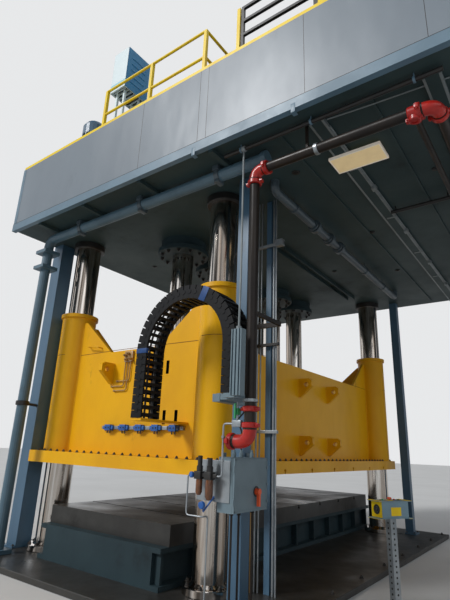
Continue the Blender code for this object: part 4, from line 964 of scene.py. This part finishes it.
def makeWaterLine():
    y, z, riser, end = (waterLine[label] for label in ("y", "z", "riserX", "endX"))
    tee, low, reach, wide = (waterLine[label] for label in ("teeX", "lowZ", "reach", "wide"))
    far, branch = waterLine["farY"], waterLine["branch"]
    assemble("waterTubes", "press", {pipeBlack: [
        (upright, riser, y, low + reach, z - reach, wide, 28),
        (tube, [(riser + reach, y, z), (end - reach, y, z)], wide, 28),
        (tube, [(end, y + reach, z), (end, far, z)], waterLine["runWide"], 24),
        (tube, [(tee, y + waterLine["branchFrom"], z), (tee, far, z)], branch, 20),
    ]})
    red = []
    for before, corner, after in (
        ((riser, y, z - reach), (riser, y, z), (riser + reach, y, z)),
        ((end - reach, y, z), (end, y, z), (end, y + reach, z)),
        ((riser, y, low + reach), (riser, y, low), (waterLine["outletX"], y, low)),
    ):
        red.append((tube, bent([before, corner, after], waterLine["bend"], 10), waterLine["elbow"], 24))
        for spot in (before, after):
            red.append((coupling, spot, Vector(spot) - Vector(corner), waterLine["elbowClamp"]))
    red += [
        (ring, (tee, y, z), axisX, *waterLine["tee"]),
        (disc, (tee, y, z - waterLine["stubDown"]), down, *waterLine["stub"]),
        (coupling, (tee, y, z - waterLine["capDown"]), axisZ, waterLine["cap"]),
        (coupling, (tee, y + waterLine["teeOut"], z), axisY, branch),
        (coupling, (riser, y, waterLine["riserClampZ"]), axisZ, waterLine["riserClamp"]),
    ]
    assemble("groovedFittings", "press", {valveRed: red})
    bright = [
        (ring, (riser, y, waterLine["riserRingZ"]), axisZ, *waterLine["riserRing"]),
        (ring, (waterLine["runRingX"], y, z), axisX, *waterLine["runRing"]),
    ]
    for hanger in waterLine["hangers"]:
        bright.append((ring, (end, hanger, z), axisY, *waterLine["endRing"]))
        bright.append((ring, (tee, hanger, z), axisY, *waterLine["teeRing"]))
    assemble("pipeRings", "press", {zincGrey: bright})


makeWaterLine()
print("water line made")

# lines under the deck, each clipped to the soffit
darkLine = {
    "y": -4.147, "z": 5.35, "from": 2.39, "to": 5.02, "radius": 0.026, "clips": (2.646, 3.613, 4.75),
    "clip": (0.0255, 0.036, 0.026, 0.003, 24), "hangerUp": 0.03, "hanger": 0.008,
    "brackets": (2.03, 3.49), "bracketWide": 0.055, "bracketY": (-4.405, -4.4027, -4.33),
    "bracketZ": (5.352, 5.3565, 5.47), "bracketEdge": 0.001,
}
crossLine = {"y": -1.57, "z": 5.347, "from": 3.73, "to": 5.30, "radius": 0.029, "hangers": (3.80, 4.55, 5.22),
             "hangerFrom": 5.37, "hanger": 0.010}
paleLine = {
    "routes": (
        (((3.75, -4.01, 5.415), (4.2, -3.985, 5.40), (5.04, -3.91, 5.415)), 0.009),
        (((3.738, -3.9, 5.398), (3.738, 3.4, 5.398)), 0.013),
        (((4.80, -3.7, 5.398), (4.80, 3.4, 5.398)), 0.010),
    ),
    "boxes": (-2.35, -0.75, 0.85, 2.3), "box": ((3.70, 3.765), 0.05, (5.345, 5.41), 0.005),
    "strap": ((3.60, 3.76), (-0.62, -0.58), (5.372, 5.3795), 0.001),
}
saddle = {
    "x": (-0.9, 0.6, 2.1), "y": -3.88, "z": 5.31, "ring": (0.0848, 0.100, 0.075, 0.004),
    "pad": (0.05, 0.105, 5.36), "foot": (0.035, 0.07, 5.19, 5.235), "edge": 0.004,
}
soffitBar = {
    "x": (3.64, 4.90), "y": (-4.07, 3.6), "out": 0.0905, "wall": 0.002, "lip": 0.065,
    "lipZ": (5.3770, 5.3790), "low": 5.3785, "edge": 0.0005,
}
joist = {
    "short": ((-1.55, -0.35, 0.95, 2.28), 0.035, (-4.32, -3.76), 5.365, 0.003),
    "long": ((3.15, 4.28), 0.02, (-4.05, 3.5), 5.405, 0.002),
}
plugs = {
    "places": (
        (2.94, -3.23, 0.055), (3.20, -0.9, 0.05), (3.05, 1.1, 0.05), (4.55, -2.3, 0.05), (4.5, 0.4, 0.045),
        (-1.3, -1.7, 0.05), (1.3, -2.2, 0.05), (1.9, 0.5, 0.05), (-1.75, 1.2, 0.05),
    ),
    "height": 0.012, "edge": 0.003, "headZ": 5.4185, "head": 0.55,
}


def makeDeckLines():
    soffit, y, z = levels["soffit"], darkLine["y"], darkLine["z"]
    crossY, crossZ = crossLine["y"], crossLine["z"]
    dark = [
        (tube, [(darkLine["from"], y, z), (darkLine["to"], y, z)], darkLine["radius"], 16),
        (tube, [(crossLine[end], crossY, crossZ) for end in ("from", "to")], crossLine["radius"], 16),
    ]
    for x in crossLine["hangers"]:
        dark.append((upright, x, crossY, crossLine["hangerFrom"], soffit, crossLine["hanger"]))
    assemble("darkLines", "press", {collarBlack: dark})
    clips = []
    for x in darkLine["clips"]:
        clips.append((ring, (x, y, z), axisX, *darkLine["clip"]))
        clips.append((upright, x, y, z + darkLine["hangerUp"], soffit, darkLine["hanger"]))
    front, plate, back = darkLine["bracketY"]
    under, lip, top = darkLine["bracketZ"]
    for x in darkLine["brackets"]:
        for far, high in ((plate, top), (back, lip)):
            corner = (x + darkLine["bracketWide"], far, high)
            clips.append((slab, (x, front, under), corner, darkLine["bracketEdge"]))
    assemble("lineClips", "press", {trimBlue: clips})
    pale = [(tube, route, radius, 10) for route, radius in paleLine["routes"]]
    (left, right), half, (low, high), edge = paleLine["box"]
    (strapLeft, strapRight), (start, stop), (strapLow, strapHigh), strapEdge = paleLine["strap"]
    for y in paleLine["boxes"]:
        pale.append((slab, (left, y - half, low), (right, y + half, high), edge))
        pale.append((slab, (strapLeft, y + start, strapLow), (strapRight, y + stop, strapHigh), strapEdge))
    assemble("paleConduits", "press", {soffitPale: pale})


def makeSoffitPieces():
    soffit, y = levels["soffit"], saddle["y"]
    saddles = []
    padX, padY, padZ = saddle["pad"]
    footX, footY, footLow, footHigh = saddle["foot"]
    for x in saddle["x"]:
        saddles.append((ring, (x, y, saddle["z"]), axisX, *saddle["ring"]))
        saddles.append((slab, (x - padX, y - padY, padZ), (x + padX, y + padY, soffit), saddle["edge"]))
        near, far = (x - footX, y - footY, footLow), (x + footX, y + footY, footHigh)
        saddles.append((slab, near, far, saddle["edge"]))
    assemble("pipeSaddles", "press", {lineGrey: saddles})
    edges = []
    (start, stop), out, lip, edge = (soffitBar[label] for label in ("y", "out", "lip", "edge"))
    lipLow, lipHigh = soffitBar["lipZ"]
    for x in soffitBar["x"]:
        for side in (x - out, x + out - soffitBar["wall"]):
            corner = (side + soffitBar["wall"], stop, soffit)
            edges.append((slab, (side, start, soffitBar["low"]), corner, edge))
        for near, far in ((-out, -lip), (lip, out)):
            edges.append((slab, (x + near, start, lipLow), (x + far, stop, lipHigh), edge))
    assemble("barEdges", "press", {soffitPale: edges}, False)
    joists = []
    for places, half, (near, far), low, bevel in joist.values():
        joists += [(slab, (x - half, near, low), (x + half, far, soffit), bevel) for x in places]
    assemble("walkJoists", "press", {soffitGrey: joists}, False)
    pads = []
    height, edge = plugs["height"], plugs["edge"]
    for x, y, radius in plugs["places"]:
        pads.append((disc, (x, y, soffit), down, radius, height, edge, 24))
        pads.append((disc, (x, y, plugs["headZ"]), down, radius * plugs["head"], height, edge, 6))
    assemble("soffitPlugs", "press", {collarBlack: pads})


makeDeckLines()
makeSoffitPieces()
print("lines under the deck laid")

# the lamp panel's pale rim, with a painted glow
lampPanel = {
    "x": 3.81, "y": -3.18, "halfLength": 0.33, "halfWidth": 0.175, "rim": 0.014, "out": 0.003, "drop": 0.003,
    "height": 0.036,
}


def makeLampFrame():
    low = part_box("work_light")[0]
    left, right = lampPanel["x"] - lampPanel["halfLength"], lampPanel["x"] + lampPanel["halfLength"]
    near, far = lampPanel["y"] - lampPanel["halfWidth"], lampPanel["y"] + lampPanel["halfWidth"]
    rim, out = lampPanel["rim"], lampPanel["out"]
    bottom, top = low.z - lampPanel["drop"], low.z + lampPanel["height"]
    strips = (
        ((left - out, near - out), (right + out, near + rim)),
        ((left - out, far - rim), (right + out, far + out)),
        ((left - out, near), (left + rim, far)),
        ((right - rim, near), (right + out, far)),
    )
    forms = [(slab, (*corner, bottom), (*opposite, top), 0.002) for corner, opposite in strips]
    assemble("lampFrame", "press", {lampRimPaintedGlow: forms}, False)


makeLampFrame()

# the return line's clamp couplings, the wall tubes beside the channel and their clamps
returnLine = {
    "x": 2.585, "z": 5.27, "bore": 0.0645, "couplings": (-1.90, -1.35, -0.92),
    "wide": (0.03, 0.106, 0.10, 0.008), "narrow": (-0.055, 0.088, 0.03, 0.004),
    "clamps": (-2.6, 0.4, 1.5), "clamp": (0, 0.078, 0.045, 0.004), "hangerFrom": 5.34, "hanger": 0.010,
}
standing = {
    "tubes": ((2.045, -2.745, 0.013), (2.095, -2.735, 0.011), (2.305, -2.735, 0.016), (2.35, -2.745, 0.011)),
    "brownX": 2.02, "brownY": (-2.80, -2.70), "brownBend": 5.30, "brown": 0.008, "back": -2.7585,
    "edge": 0.003, "struts": (
        (2.00, -2.80, 4.63, 2.50, 4.671), (2.38, -2.84, 4.60, 2.50, 4.70), (2.00, -2.80, 1.95, 2.40, 1.99),
    ),
    "dark": (2.00, -2.80, 3.12, 2.42, 3.16),
}
pressureClamp = {
    "centre": (-1.87, -3.88, 2.33), "ring": (0.0848, 0.108, 0.07, 0.006), "arm": 0.024,
    "armEnds": ((-1.925, -3.80, 2.33), (-2.075, -3.4958, 2.33)),
}
dropLine = {
    "points": ((2.745, -4.225, 2.9803), (2.735, -4.20, 3.6), (2.70, -4.165, 5.2), (2.69, -4.150, 5.335)),
    "radius": 0.012, "gland": (0.030, 0.035, 0.005, 20),
    "top": (2.69, -4.147, 5.35), "ring": (0.0255, 0.038, 0.05, 0.004, 24),
}


def strap(x, y, low, right, high):
    return (slab, (x, y, low), (right, standing["back"], high), standing["edge"])


def makeStandingLines():
    x, z, soffit, floor = returnLine["x"], returnLine["z"], levels["soffit"], levels["floor"]

    def band(y, shift, *sizes):
        return (ring, (x, y + shift, z), axisY, returnLine["bore"], *sizes)

    clamps = []
    for y in returnLine["couplings"]:
        clamps += [band(y, *returnLine["wide"]), band(y, *returnLine["narrow"])]
    for y in returnLine["clamps"]:
        clamps.append(band(y, *returnLine["clamp"]))
        clamps.append((upright, x, y, returnLine["hangerFrom"], soffit, returnLine["hanger"]))
    assemble("returnClamps", "press", {lineGrey: clamps})
    tubes = [(upright, tubeX, y, floor, soffit, radius, 12) for tubeX, y, radius in standing["tubes"]]
    assemble("standingTubes", "press", {zincGrey: tubes})
    brownX, (front, back) = standing["brownX"], standing["brownY"]
    route = [(brownX, front, floor), (brownX, front, standing["brownBend"]), (brownX, back, soffit)]
    assemble("brownLine", "press", {copperTube: [(tube, route, standing["brown"], 8)]})
    assemble("strutClamps", "press", {zincGrey: [strap(*sizes) for sizes in standing["struts"]]}, False)
    assemble("darkClamp", "press", {collarBlack: [strap(*standing["dark"])]}, False)
    assemble("pipeClamp", "press", {collarBlack: [
        (ring, pressureClamp["centre"], axisZ, *pressureClamp["ring"]),
        (tube, pressureClamp["armEnds"], pressureClamp["arm"], 10),
    ]})
    assemble("dropConduit", "press", {soffitPale: [
        (tube, dropLine["points"], dropLine["radius"], 10),
        (disc, dropLine["points"][0], axisZ, *dropLine["gland"]),
        (ring, dropLine["top"], axisX, *dropLine["ring"]),
    ]})


makeStandingLines()
print("standing lines laid")

# control cabinet: folded edges, glands on top, conduits below, the door's rim and the switch's ring
cabinet = {
    "back": 2.3403, "front": 2.5303, "outer": 2.5529, "yFront": -3.95, "yBack": -3.28, "low": 1.10,
    "high": 1.65, "lid": 0.006, "glandX": 2.435, "glands": (-3.80, -3.66, -3.44), "tabs": (-3.86, -3.40),
    "hub": (0.024, 0.05, 0.006, 8), "stem": (0.015, 0.035, 0.004, 16), "stemUp": 0.05,
    "tab": (0.004, 0.012, 0.03),
    "runs": ((-3.78, 2.41), (-3.70, 2.45), (-3.40, 2.43)), "runHub": (0.022, 0.04, 0.005, 8), "run": 0.012,
    "bendZ": (0.55, 0.30), "bendBy": (-0.01, 0.015),
    "feed": ((2.435, -3.66, 1.72), (2.435, -3.66, 1.95), (2.3526, -3.66, 2.05), (2.3526, -3.45, 2.2),
             (2.3526, -3.45, 5.43)), "feedBend": 0.05, "feedRadius": 0.010,
    "rimIn": 0.012, "rim": 0.016, "rimBack": 0.0005, "rimOut": 0.003, "rimEdge": 0.0012,
    "hinges": (1.19, 1.37, 1.55), "hinge": (0.030, 0.006, 0.014, 0.012), "edge": 0.002,
    "switch": (-3.52, 1.30), "switchRing": (0.041, 0.056, 0.005, 0.001, 40), "switchOut": 0.0025,
}


def makeCabinetTop():
    back, low, high, edge = (cabinet[label] for label in ("back", "low", "high", "edge"))
    lid, gland = cabinet["lid"], cabinet["glandX"]
    start, stop, rise = cabinet["tab"]
    near = (back + start, cabinet["yFront"] - lid, high)
    fold = [(slab, near, (cabinet["front"] - edge, cabinet["yBack"] + lid, high + lid), edge)]
    for y in cabinet["glands"]:
        fold.append((disc, (gland, y, high + lid), axisZ, *cabinet["hub"]))
        fold.append((disc, (gland, y, high + cabinet["stemUp"]), axisZ, *cabinet["stem"]))
    for y in cabinet["tabs"]:
        corner = (back + stop, y + rise, high + cabinet["stemUp"])
        fold.append((slab, (back + start, y - rise, high), corner, edge))
    assemble("cabinetTop", "press", {boxGrey: fold})
    runs = []
    upper, lower = cabinet["bendZ"]
    byX, byY = cabinet["bendBy"]
    for y, x in cabinet["runs"]:
        route = [(x, y, low - 0.03), (x, y, upper), (x + byX, y + byY, lower), (x, y, levels["floor"])]
        runs += [(disc, (x, y, low - 0.0005), down, *cabinet["runHub"]), (tube, route, cabinet["run"], 10)]
    runs.append((tube, bent(cabinet["feed"], cabinet["feedBend"]), cabinet["feedRadius"], 10))
    assemble("cabinetConduits", "press", {pipeBlack: runs})


def makeDoorTrim():
    inset, rim, outer = cabinet["rimIn"], cabinet["rim"], cabinet["outer"]
    near, far = cabinet["yFront"] + inset, cabinet["yBack"] - inset
    low, high = cabinet["low"] + inset, cabinet["high"] - inset
    strips = (
        ((near, low), (far, low + rim)), ((near, high - rim), (far, high)),
        ((near, low), (near + rim, high)), ((far - rim, low), (far, high)),
    )
    back, front = outer - cabinet["rimBack"], outer + cabinet["rimOut"]
    leaf = [(slab, (back, *corner), (front, *opposite), cabinet["rimEdge"]) for corner, opposite in strips]
    start, stop, half, out = cabinet["hinge"]
    edgeY = cabinet["yBack"]
    for z in cabinet["hinges"]:
        leaf.append((slab, (outer, edgeY - start, z - half), (outer + out, edgeY - stop, z + half), 0.003))
    assemble("doorPanel", "door", {boxGrey: leaf})
    centre = (outer + cabinet["switchOut"], *cabinet["switch"])
    assemble("switchPlate", "door", {collarBlack: [(ring, centre, axisX, *cabinet["switchRing"])]})


makeCabinetTop()
makeDoorTrim()
print("cabinet trimmed")

# the air and oil unit hung on a plate at the cabinet's forward side
oiler = {
    "x": 2.20, "y": -4.05, "plateY": -3.9505, "plate": (2.06, 2.50, 1.20, 1.62), "plateDeep": 0.008,
    "arms": (2.16, 2.30), "arm": (0.02, 0.006, 1.42, 1.47), "low": 1.42, "high": 1.50,
    "units": ((-0.04, 1.66), (0.10, 1.64)), "unitHalf": 0.045, "dome": (0.034, 0.06, 0.008, 24),
    "stemLow": 1.56,
    "bridge": (-0.115, 0.20, 0.02, 1.44, 1.48), "bowls": ((0.10, 0.20, 0.042), (-0.04, 0.16, 0.036)),
    "bowlTop": 1.405, "bowlTaper": 0.03, "lineZ": 1.46, "linkX": (2.46, 2.62), "linkZ": 2.0, "dropLow": 1.05,
    "rings": (1.62, 1.86), "ring": (0.0105, 0.019, 0.03, 0.003, 12), "bend": 0.04,
}


def makeOiler():
    x, y, plateY = oiler["x"], oiler["y"], oiler["plateY"]
    low, high, half, line = (oiler[label] for label in ("low", "high", "unitHalf", "lineZ"))
    left, right, bottom, top = oiler["plate"]
    hanger = [(slab, (left, plateY - oiler["plateDeep"], bottom), (right, plateY, top), 0.002)]
    wide, behind, armLow, armHigh = oiler["arm"]
    for spot in oiler["arms"]:
        hanger.append((slab, (spot - wide, y - wide, armLow), (spot + wide, plateY - behind, armHigh), 0.003))
    assemble("oilerPlate", "press", {zincGrey: hanger}, False)
    bodies = []
    for shift, top in oiler["units"]:
        spot, stem = x + shift, oiler["stemLow"]
        bodies.append((slab, (spot - half, y - half, low), (spot + half, y + half, high), 0.006))
        bodies.append((disc, (spot, y, high), axisZ, *oiler["dome"]))
        bodies.append((disc, (spot, y, stem), axisZ, 0.026, top - stem, 0.006, 16))
    start, stop, deep, bridgeLow, bridgeHigh = oiler["bridge"]
    bodies.append((slab, (x + start, y - deep, bridgeLow), (x + stop, y + deep, bridgeHigh), 0.004))
    assemble("oilerBodies", "press", {collarBlack: bodies})
    bowls = []
    for shift, depth, radius in oiler["bowls"]:
        foot = low - depth
        profile = [
            (0, low), (radius * 0.92, low), (radius, oiler["bowlTop"]), (radius, foot + oiler["bowlTaper"]),
            (radius * 0.6, foot), (0, foot),
        ]
        bowls.append((lathe, profile, (x + shift, y, 0), 32))
    assemble("oilerBowls", "press", {amberBowl: bowls})
    assemble("oilerGauges", "press", {valveBlue: [
        (disc, (x - 0.12, y - 0.02, line), (-0.3, -1, 0), 0.032, 0.03, 0.005, 28),
        (disc, (x + 0.03, y - 0.01, 1.17), (0, -1, -0.2), 0.038, 0.035, 0.006, 28),
        (tube, [(x + 0.03, y, 1.17), (x + 0.03, y, 1.10), (x + 0.10, plateY - 0.004, 1.25)], 0.010, 10),
    ]})
    (near, far), linkZ, drop, dropX = oiler["linkX"], oiler["linkZ"], oiler["dropLow"], x + 0.02
    feed = [(x + 0.19, y, line), (near, y, line), (near, y, linkZ), (far, y, linkZ)]
    drain = [(x - 0.12, y, line), (x - 0.20, y, line), (x - 0.20, y, drop), (dropX, y, drop)]
    drain += [(dropX, plateY, drop), (dropX, plateY, levels["floor"])]
    lines = [(tube, bent(feed, oiler["bend"]), 0.011, 10), (tube, bent(drain, oiler["bend"]), 0.009, 10)]
    lines += [(ring, (near, y, z), axisZ, *oiler["ring"]) for z in oiler["rings"]]
    lines.append((slab, (2.585, y - 0.03, 1.965), (2.70, y + 0.03, 2.035), 0.006))
    lines.append((upright, 2.64, y, 2.02, 2.2287, 0.011, 10))
    assemble("airLines", "press", {zincGrey: lines})
    assemble("greenValve", "press", {valveGreen: [
        (slab, (2.615, y - 0.035, 2.09), (2.665, y + 0.03, 2.16), 0.006),
        (slab, (2.63, y - 0.060, 2.05), (2.65, y - 0.035, 2.21), 0.004),
    ]})


makeOiler()
print("oiler hung")

# the cooler's painted panels
cooler = {
    "x": (-0.335, 0.045), "y": (-4.10, -3.57), "z": (7.76, 8.64), "in": 0.004, "skin": 0.004, "edge": 0.0015,
    "stripe": (0.04, 0.16), "ribs": 5, "ribPitch": 0.13, "ribIn": 0.10, "rib": (0.012, 0.02, 0.003),
    "slats": 12, "slatIn": 0.021, "slatEnd": 0.045, "slatHalf": 0.004, "slatZ": (0.032, 0.055),
}


def makeCoolerPanels():
    (x0, x1), (y0, y1), (z0, z1) = cooler["x"], cooler["y"], cooler["z"]
    skinDepth, edge, low, high = cooler["skin"], cooler["edge"], z0 + cooler["in"], z1 - cooler["in"]
    white = (slab, (x0 + 0.002, y0 - skinDepth, low), (x1 + 0.003, y0, high), edge)
    assemble("coolerFront", "press", {coolerWhite: [white]}, False)
    bottom, top = (z0 + up for up in cooler["stripe"])
    stripe = (slab, (x0 + 0.002, y0 - 0.0062, bottom), (x1 + 0.003, y0 - 0.0035, top), 0.001)
    assemble("coolerStripe", "press", {stripeCyan: [stripe]}, False)
    blue = [
        (slab, (x1, y0 + 0.001, low), (x1 + skinDepth, y1 - 0.001, high), edge),
        (slab, (x0 - skinDepth, y0 + 0.001, low), (x0, y1 - 0.001, high), edge),
        (slab, (x0, y1, low), (x1, y1 + skinDepth, high), edge),
    ]
    out, thick, ribEdge = cooler["rib"]
    near, far = y0 + cooler["ribIn"], y1 - cooler["ribIn"]
    for step in range(cooler["ribs"]):
        z = top + step * cooler["ribPitch"]
        blue.append((slab, (x1 + skinDepth, near, z), (x1 + out, far, z + thick), ribEdge))
    assemble("coolerSides", "press", {coolerBlue: blue}, False)
    slats = []
    bottom, top = (z0 + up for up in cooler["slatZ"])
    left, right, half = x0 + cooler["slatIn"], x1 - cooler["slatIn"], cooler["slatHalf"]
    for step in range(cooler["slats"]):
        y = y0 + cooler["slatEnd"] + step * (y1 - y0 - 2 * cooler["slatEnd"]) / (cooler["slats"] - 1)
        slats.append((slab, (left, y - half, bottom), (right, y + half, top), 0.001))
    assemble("coolerLouvre", "press", {collarBlack: slats}, False)


makeCoolerPanels()

# the cladding's seam lines and its left corner strip
fascia = {
    "face": -4.39, "seams": (0.98, 2.10, 2.24, 3.66, 4.96), "half": 0.003, "out": 0.0008, "deep": 0.004,
    "low": 5.55, "high": 6.709, "trim": ((-2.31, -4.4028, 5.5415), (5.39, -4.3905, 5.5465)), "edge": 0.002,
    "strip": (((-2.3165, -4.394), (-2.235, -4.3895)), ((-2.3195, -4.394), (-2.3155, -4.376))),
}


def makeSeams():
    face, half, low, high = (fascia[label] for label in ("face", "half", "low", "high"))
    front, back = face - fascia["out"], face + fascia["deep"]
    seams = [(slab, (x - half, front, low), (x + half, back, high)) for x in fascia["seams"]]
    assemble("fasciaSeams", "press", {collarBlack: [*seams, (slab, *fascia["trim"])]}, False)
    edge = fascia["edge"]
    strips = [(slab, (*corner, low), (*opposite, high), edge) for corner, opposite in fascia["strip"]]
    assemble("cornerStrip", "press", {trimBlue: strips}, False)


makeSeams()
print("panels and seams laid")

# operator station: guards, palm rims, blank plate, small buttons and pedestal holes
station = {
    "x": 3.553, "y": -2.038, "turn": 60.0, "base": 1.017, "height": 0.195, "half": 0.2035, "deep": 0.093,
    "opening": 0.034, "endIn": 0.004, "topIn": 0.010, "plate": (0.0004, 0.0020), "lip": 0.053,
    "lipOut": 0.0105,
    "lipGap": 0.002, "lipZ": (-0.0035, 0.0005), "lipThick": 0.003, "edge": 0.001, "seat": 0.0003,
    "blank": (-0.069, 0.085, 0.030, 0.125), "rim": (0.0335, 0.056, 0.005, 0.001, 36), "rimOut": 0.001,
    "small": (-0.14, 0.14), "smallButton": (0.014, 0.010, 0.003, 16),
    "lamp": (0.09, 0.02), "lampButton": (0.011, 0.014, 0.004, 16), "stop": (0.030, 0.044, 0.004, 0.001, 32),
    "stopUp": 0.0022, "holes": 16, "holeOut": -0.0442, "holeLow": 0.09, "holePitch": 0.058,
    "hole": (0.0125, 0.0012, 0.0003, 14),
}


def makeStationTrim():
    turn = Matrix.Rotation(radians(station["turn"]), 4, "Z")
    place = Matrix.Translation((station["x"], station["y"], 0)) @ turn
    base, top = station["base"], station["base"] + station["height"]
    half, deep, centreZ = station["half"], station["deep"], station["base"] + station["height"] / 2
    hole, thin = station["opening"], station["edge"]
    front, back = station["endIn"] - deep, deep - station["endIn"]
    low, high = base + station["topIn"], top - station["topIn"]
    frames = (
        ((front, low), (-hole, high)), ((hole, low), (back, high)),
        ((-hole, low), (hole, centreZ - hole)), ((-hole, centreZ + hole), (hole, high)),
    )
    guards = []
    gap, reach, thick = station["lipGap"], deep + station["lipOut"], station["lipThick"]
    for sign in (-1, 1):
        near, far = sorted(sign * (half + out) for out in station["plate"])
        guards += [(slab, (near, *corner), (far, *opposite), 0, place) for corner, opposite in frames]
        near, far = sorted((sign * (half + gap), sign * (half + station["lip"])))
        for z in (base + station["lipZ"][0], top + station["lipZ"][1]):
            guards.append((slab, (near - gap, -reach, z), (far + gap, reach, z + thick), thin, place))
    left, right, bottom, upper = station["blank"]
    blank = ((left, -deep - 0.003, base + bottom), (right, -deep - station["seat"], base + upper))
    guards.append((slab, *blank, thin, place))
    assemble("stationGuards", "press", {railYellow: guards}, False)
    rims = []
    for sign in (-1, 1):
        centre = place @ Vector((sign * (half + station["rimOut"]), 0, centreZ))
        rims.append((ring, centre, place.to_3x3() @ Vector((sign, 0, 0)), *station["rim"]))
    cover = top + station["seat"]
    for x in station["small"]:
        rims.append((disc, place @ Vector((x, 0, cover)), axisZ, *station["smallButton"]))
    assemble("stationRims", "press", {buttonBlack: rims})
    lampX, lampY = station["lamp"]
    for name, x, finish in (("stationLampGreen", -lampX, valveGreen), ("stationLampRed", lampX, valveRed)):
        lamp = (disc, place @ Vector((x, lampY, cover)), axisZ, *station["lampButton"])
        assemble(name, "press", {finish: [lamp]})
    centre = place @ Vector((0, 0, top + station["stopUp"]))
    assemble("stopRing", "press", {railYellow: [(ring, centre, axisZ, *station["stop"])]})
    holes = []
    for side in range(4):
        spin = place @ Matrix.Rotation(pi / 2 * side, 4, "Z")
        outward = spin.to_3x3() @ Vector(forwards)
        for step in range(station["holes"]):
            spot = Vector((0, station["holeOut"], station["holeLow"] + step * station["holePitch"]))
            holes.append((disc, spin @ spot, outward, *station["hole"]))
    assemble("pedestalHoles", "press", {collarBlack: holes}, False)


makeStationTrim()
print("station trimmed")

# a pale studio: soft world light, two broad suns and a plain floor
studio = {
    "ambient": (0.86, 0.90, 0.96), "strength": 0.42, "backdrop": (0.80, 0.81, 0.82),
    "flagFlat": (1, 1, 0.22), "flagScale": 2.3, "flagDetail": 3, "flagTones": (0.44, 0.58),
    "flag": (0.022, 0.026, 0.030), "softBox": (1.15, 1.17, 1.20),
    "suns": (("keySun", (0.42, 0.78, -0.62), 2.2, 14), ("fillSun", (-0.9, 0.35, -0.35), 0.12, 30)),
    "floor": ((0, -0.02), (90, -0.02), (90, 0), (0, 0)),
}


def lightRig():
    world = bpy.data.worlds.new("paleStudio")
    world.use_nodes = True
    bpy.context.scene.world = world
    tree = world.node_tree
    ambient = tree.nodes["Background"]
    plug(tree, ambient, {"Color": (*studio["ambient"], 1), "Strength": studio["strength"]})
    backdrop = addNode(tree, "ShaderNodeBackground", {"Color": (*studio["backdrop"], 1)})
    where = addNode(tree, "ShaderNodeTexCoord").outputs["Generated"]
    stretch = {"Vector": where, "Scale": studio["flagFlat"]}
    flat = addNode(tree, "ShaderNodeMapping", stretch).outputs["Vector"]
    pattern = {"Vector": flat, "Scale": studio["flagScale"], "Detail": studio["flagDetail"]}
    flags = addNode(tree, "ShaderNodeTexNoise", pattern)
    contrast = addNode(tree, "ShaderNodeValToRGB", {"Fac": flags.outputs["Fac"]})
    setRamp(contrast, studio["flagTones"], (studio["flag"], studio["softBox"]))
    # standing soft boxes and dark flags, seen in bright metal only
    mirrored = addNode(tree, "ShaderNodeBackground", {"Color": contrast.outputs["Color"]})
    path = addNode(tree, "ShaderNodeLightPath").outputs
    rays = {0: path["Is Camera Ray"], 1: ambient.outputs[0], 2: backdrop.outputs[0]}
    seen = addNode(tree, "ShaderNodeMixShader", rays)
    rays = {0: path["Is Glossy Ray"], 1: seen.outputs[0], 2: mirrored.outputs[0]}
    mix = addNode(tree, "ShaderNodeMixShader", rays)
    plug(tree, tree.nodes["World Output"], {"Surface": mix.outputs[0]})
    for name, aim, strength, spread in studio["suns"]:
        lamp = bpy.data.lights.new(name, "SUN")
        lamp.energy = strength
        lamp.angle = radians(spread)
        linked(name, lamp).rotation_euler = Vector(aim).to_track_quat("-Z", "Y").to_euler()
    floorFinish = makeFinish(
        "paleFloor", (0.60, 0.60, 0.59), (0.56, 0.56, 0.55), 0.3, rough=(0.6, 0.75), grains=((20, 0.0006),))
    floor = assemble("studioFloor", None, {floorFinish: [(lathe, studio["floor"], (0, 0, 0), 64)]}, False)


lightRig()
bpy.context.scene.view_settings.view_transform = "Standard"
print("studio lit")
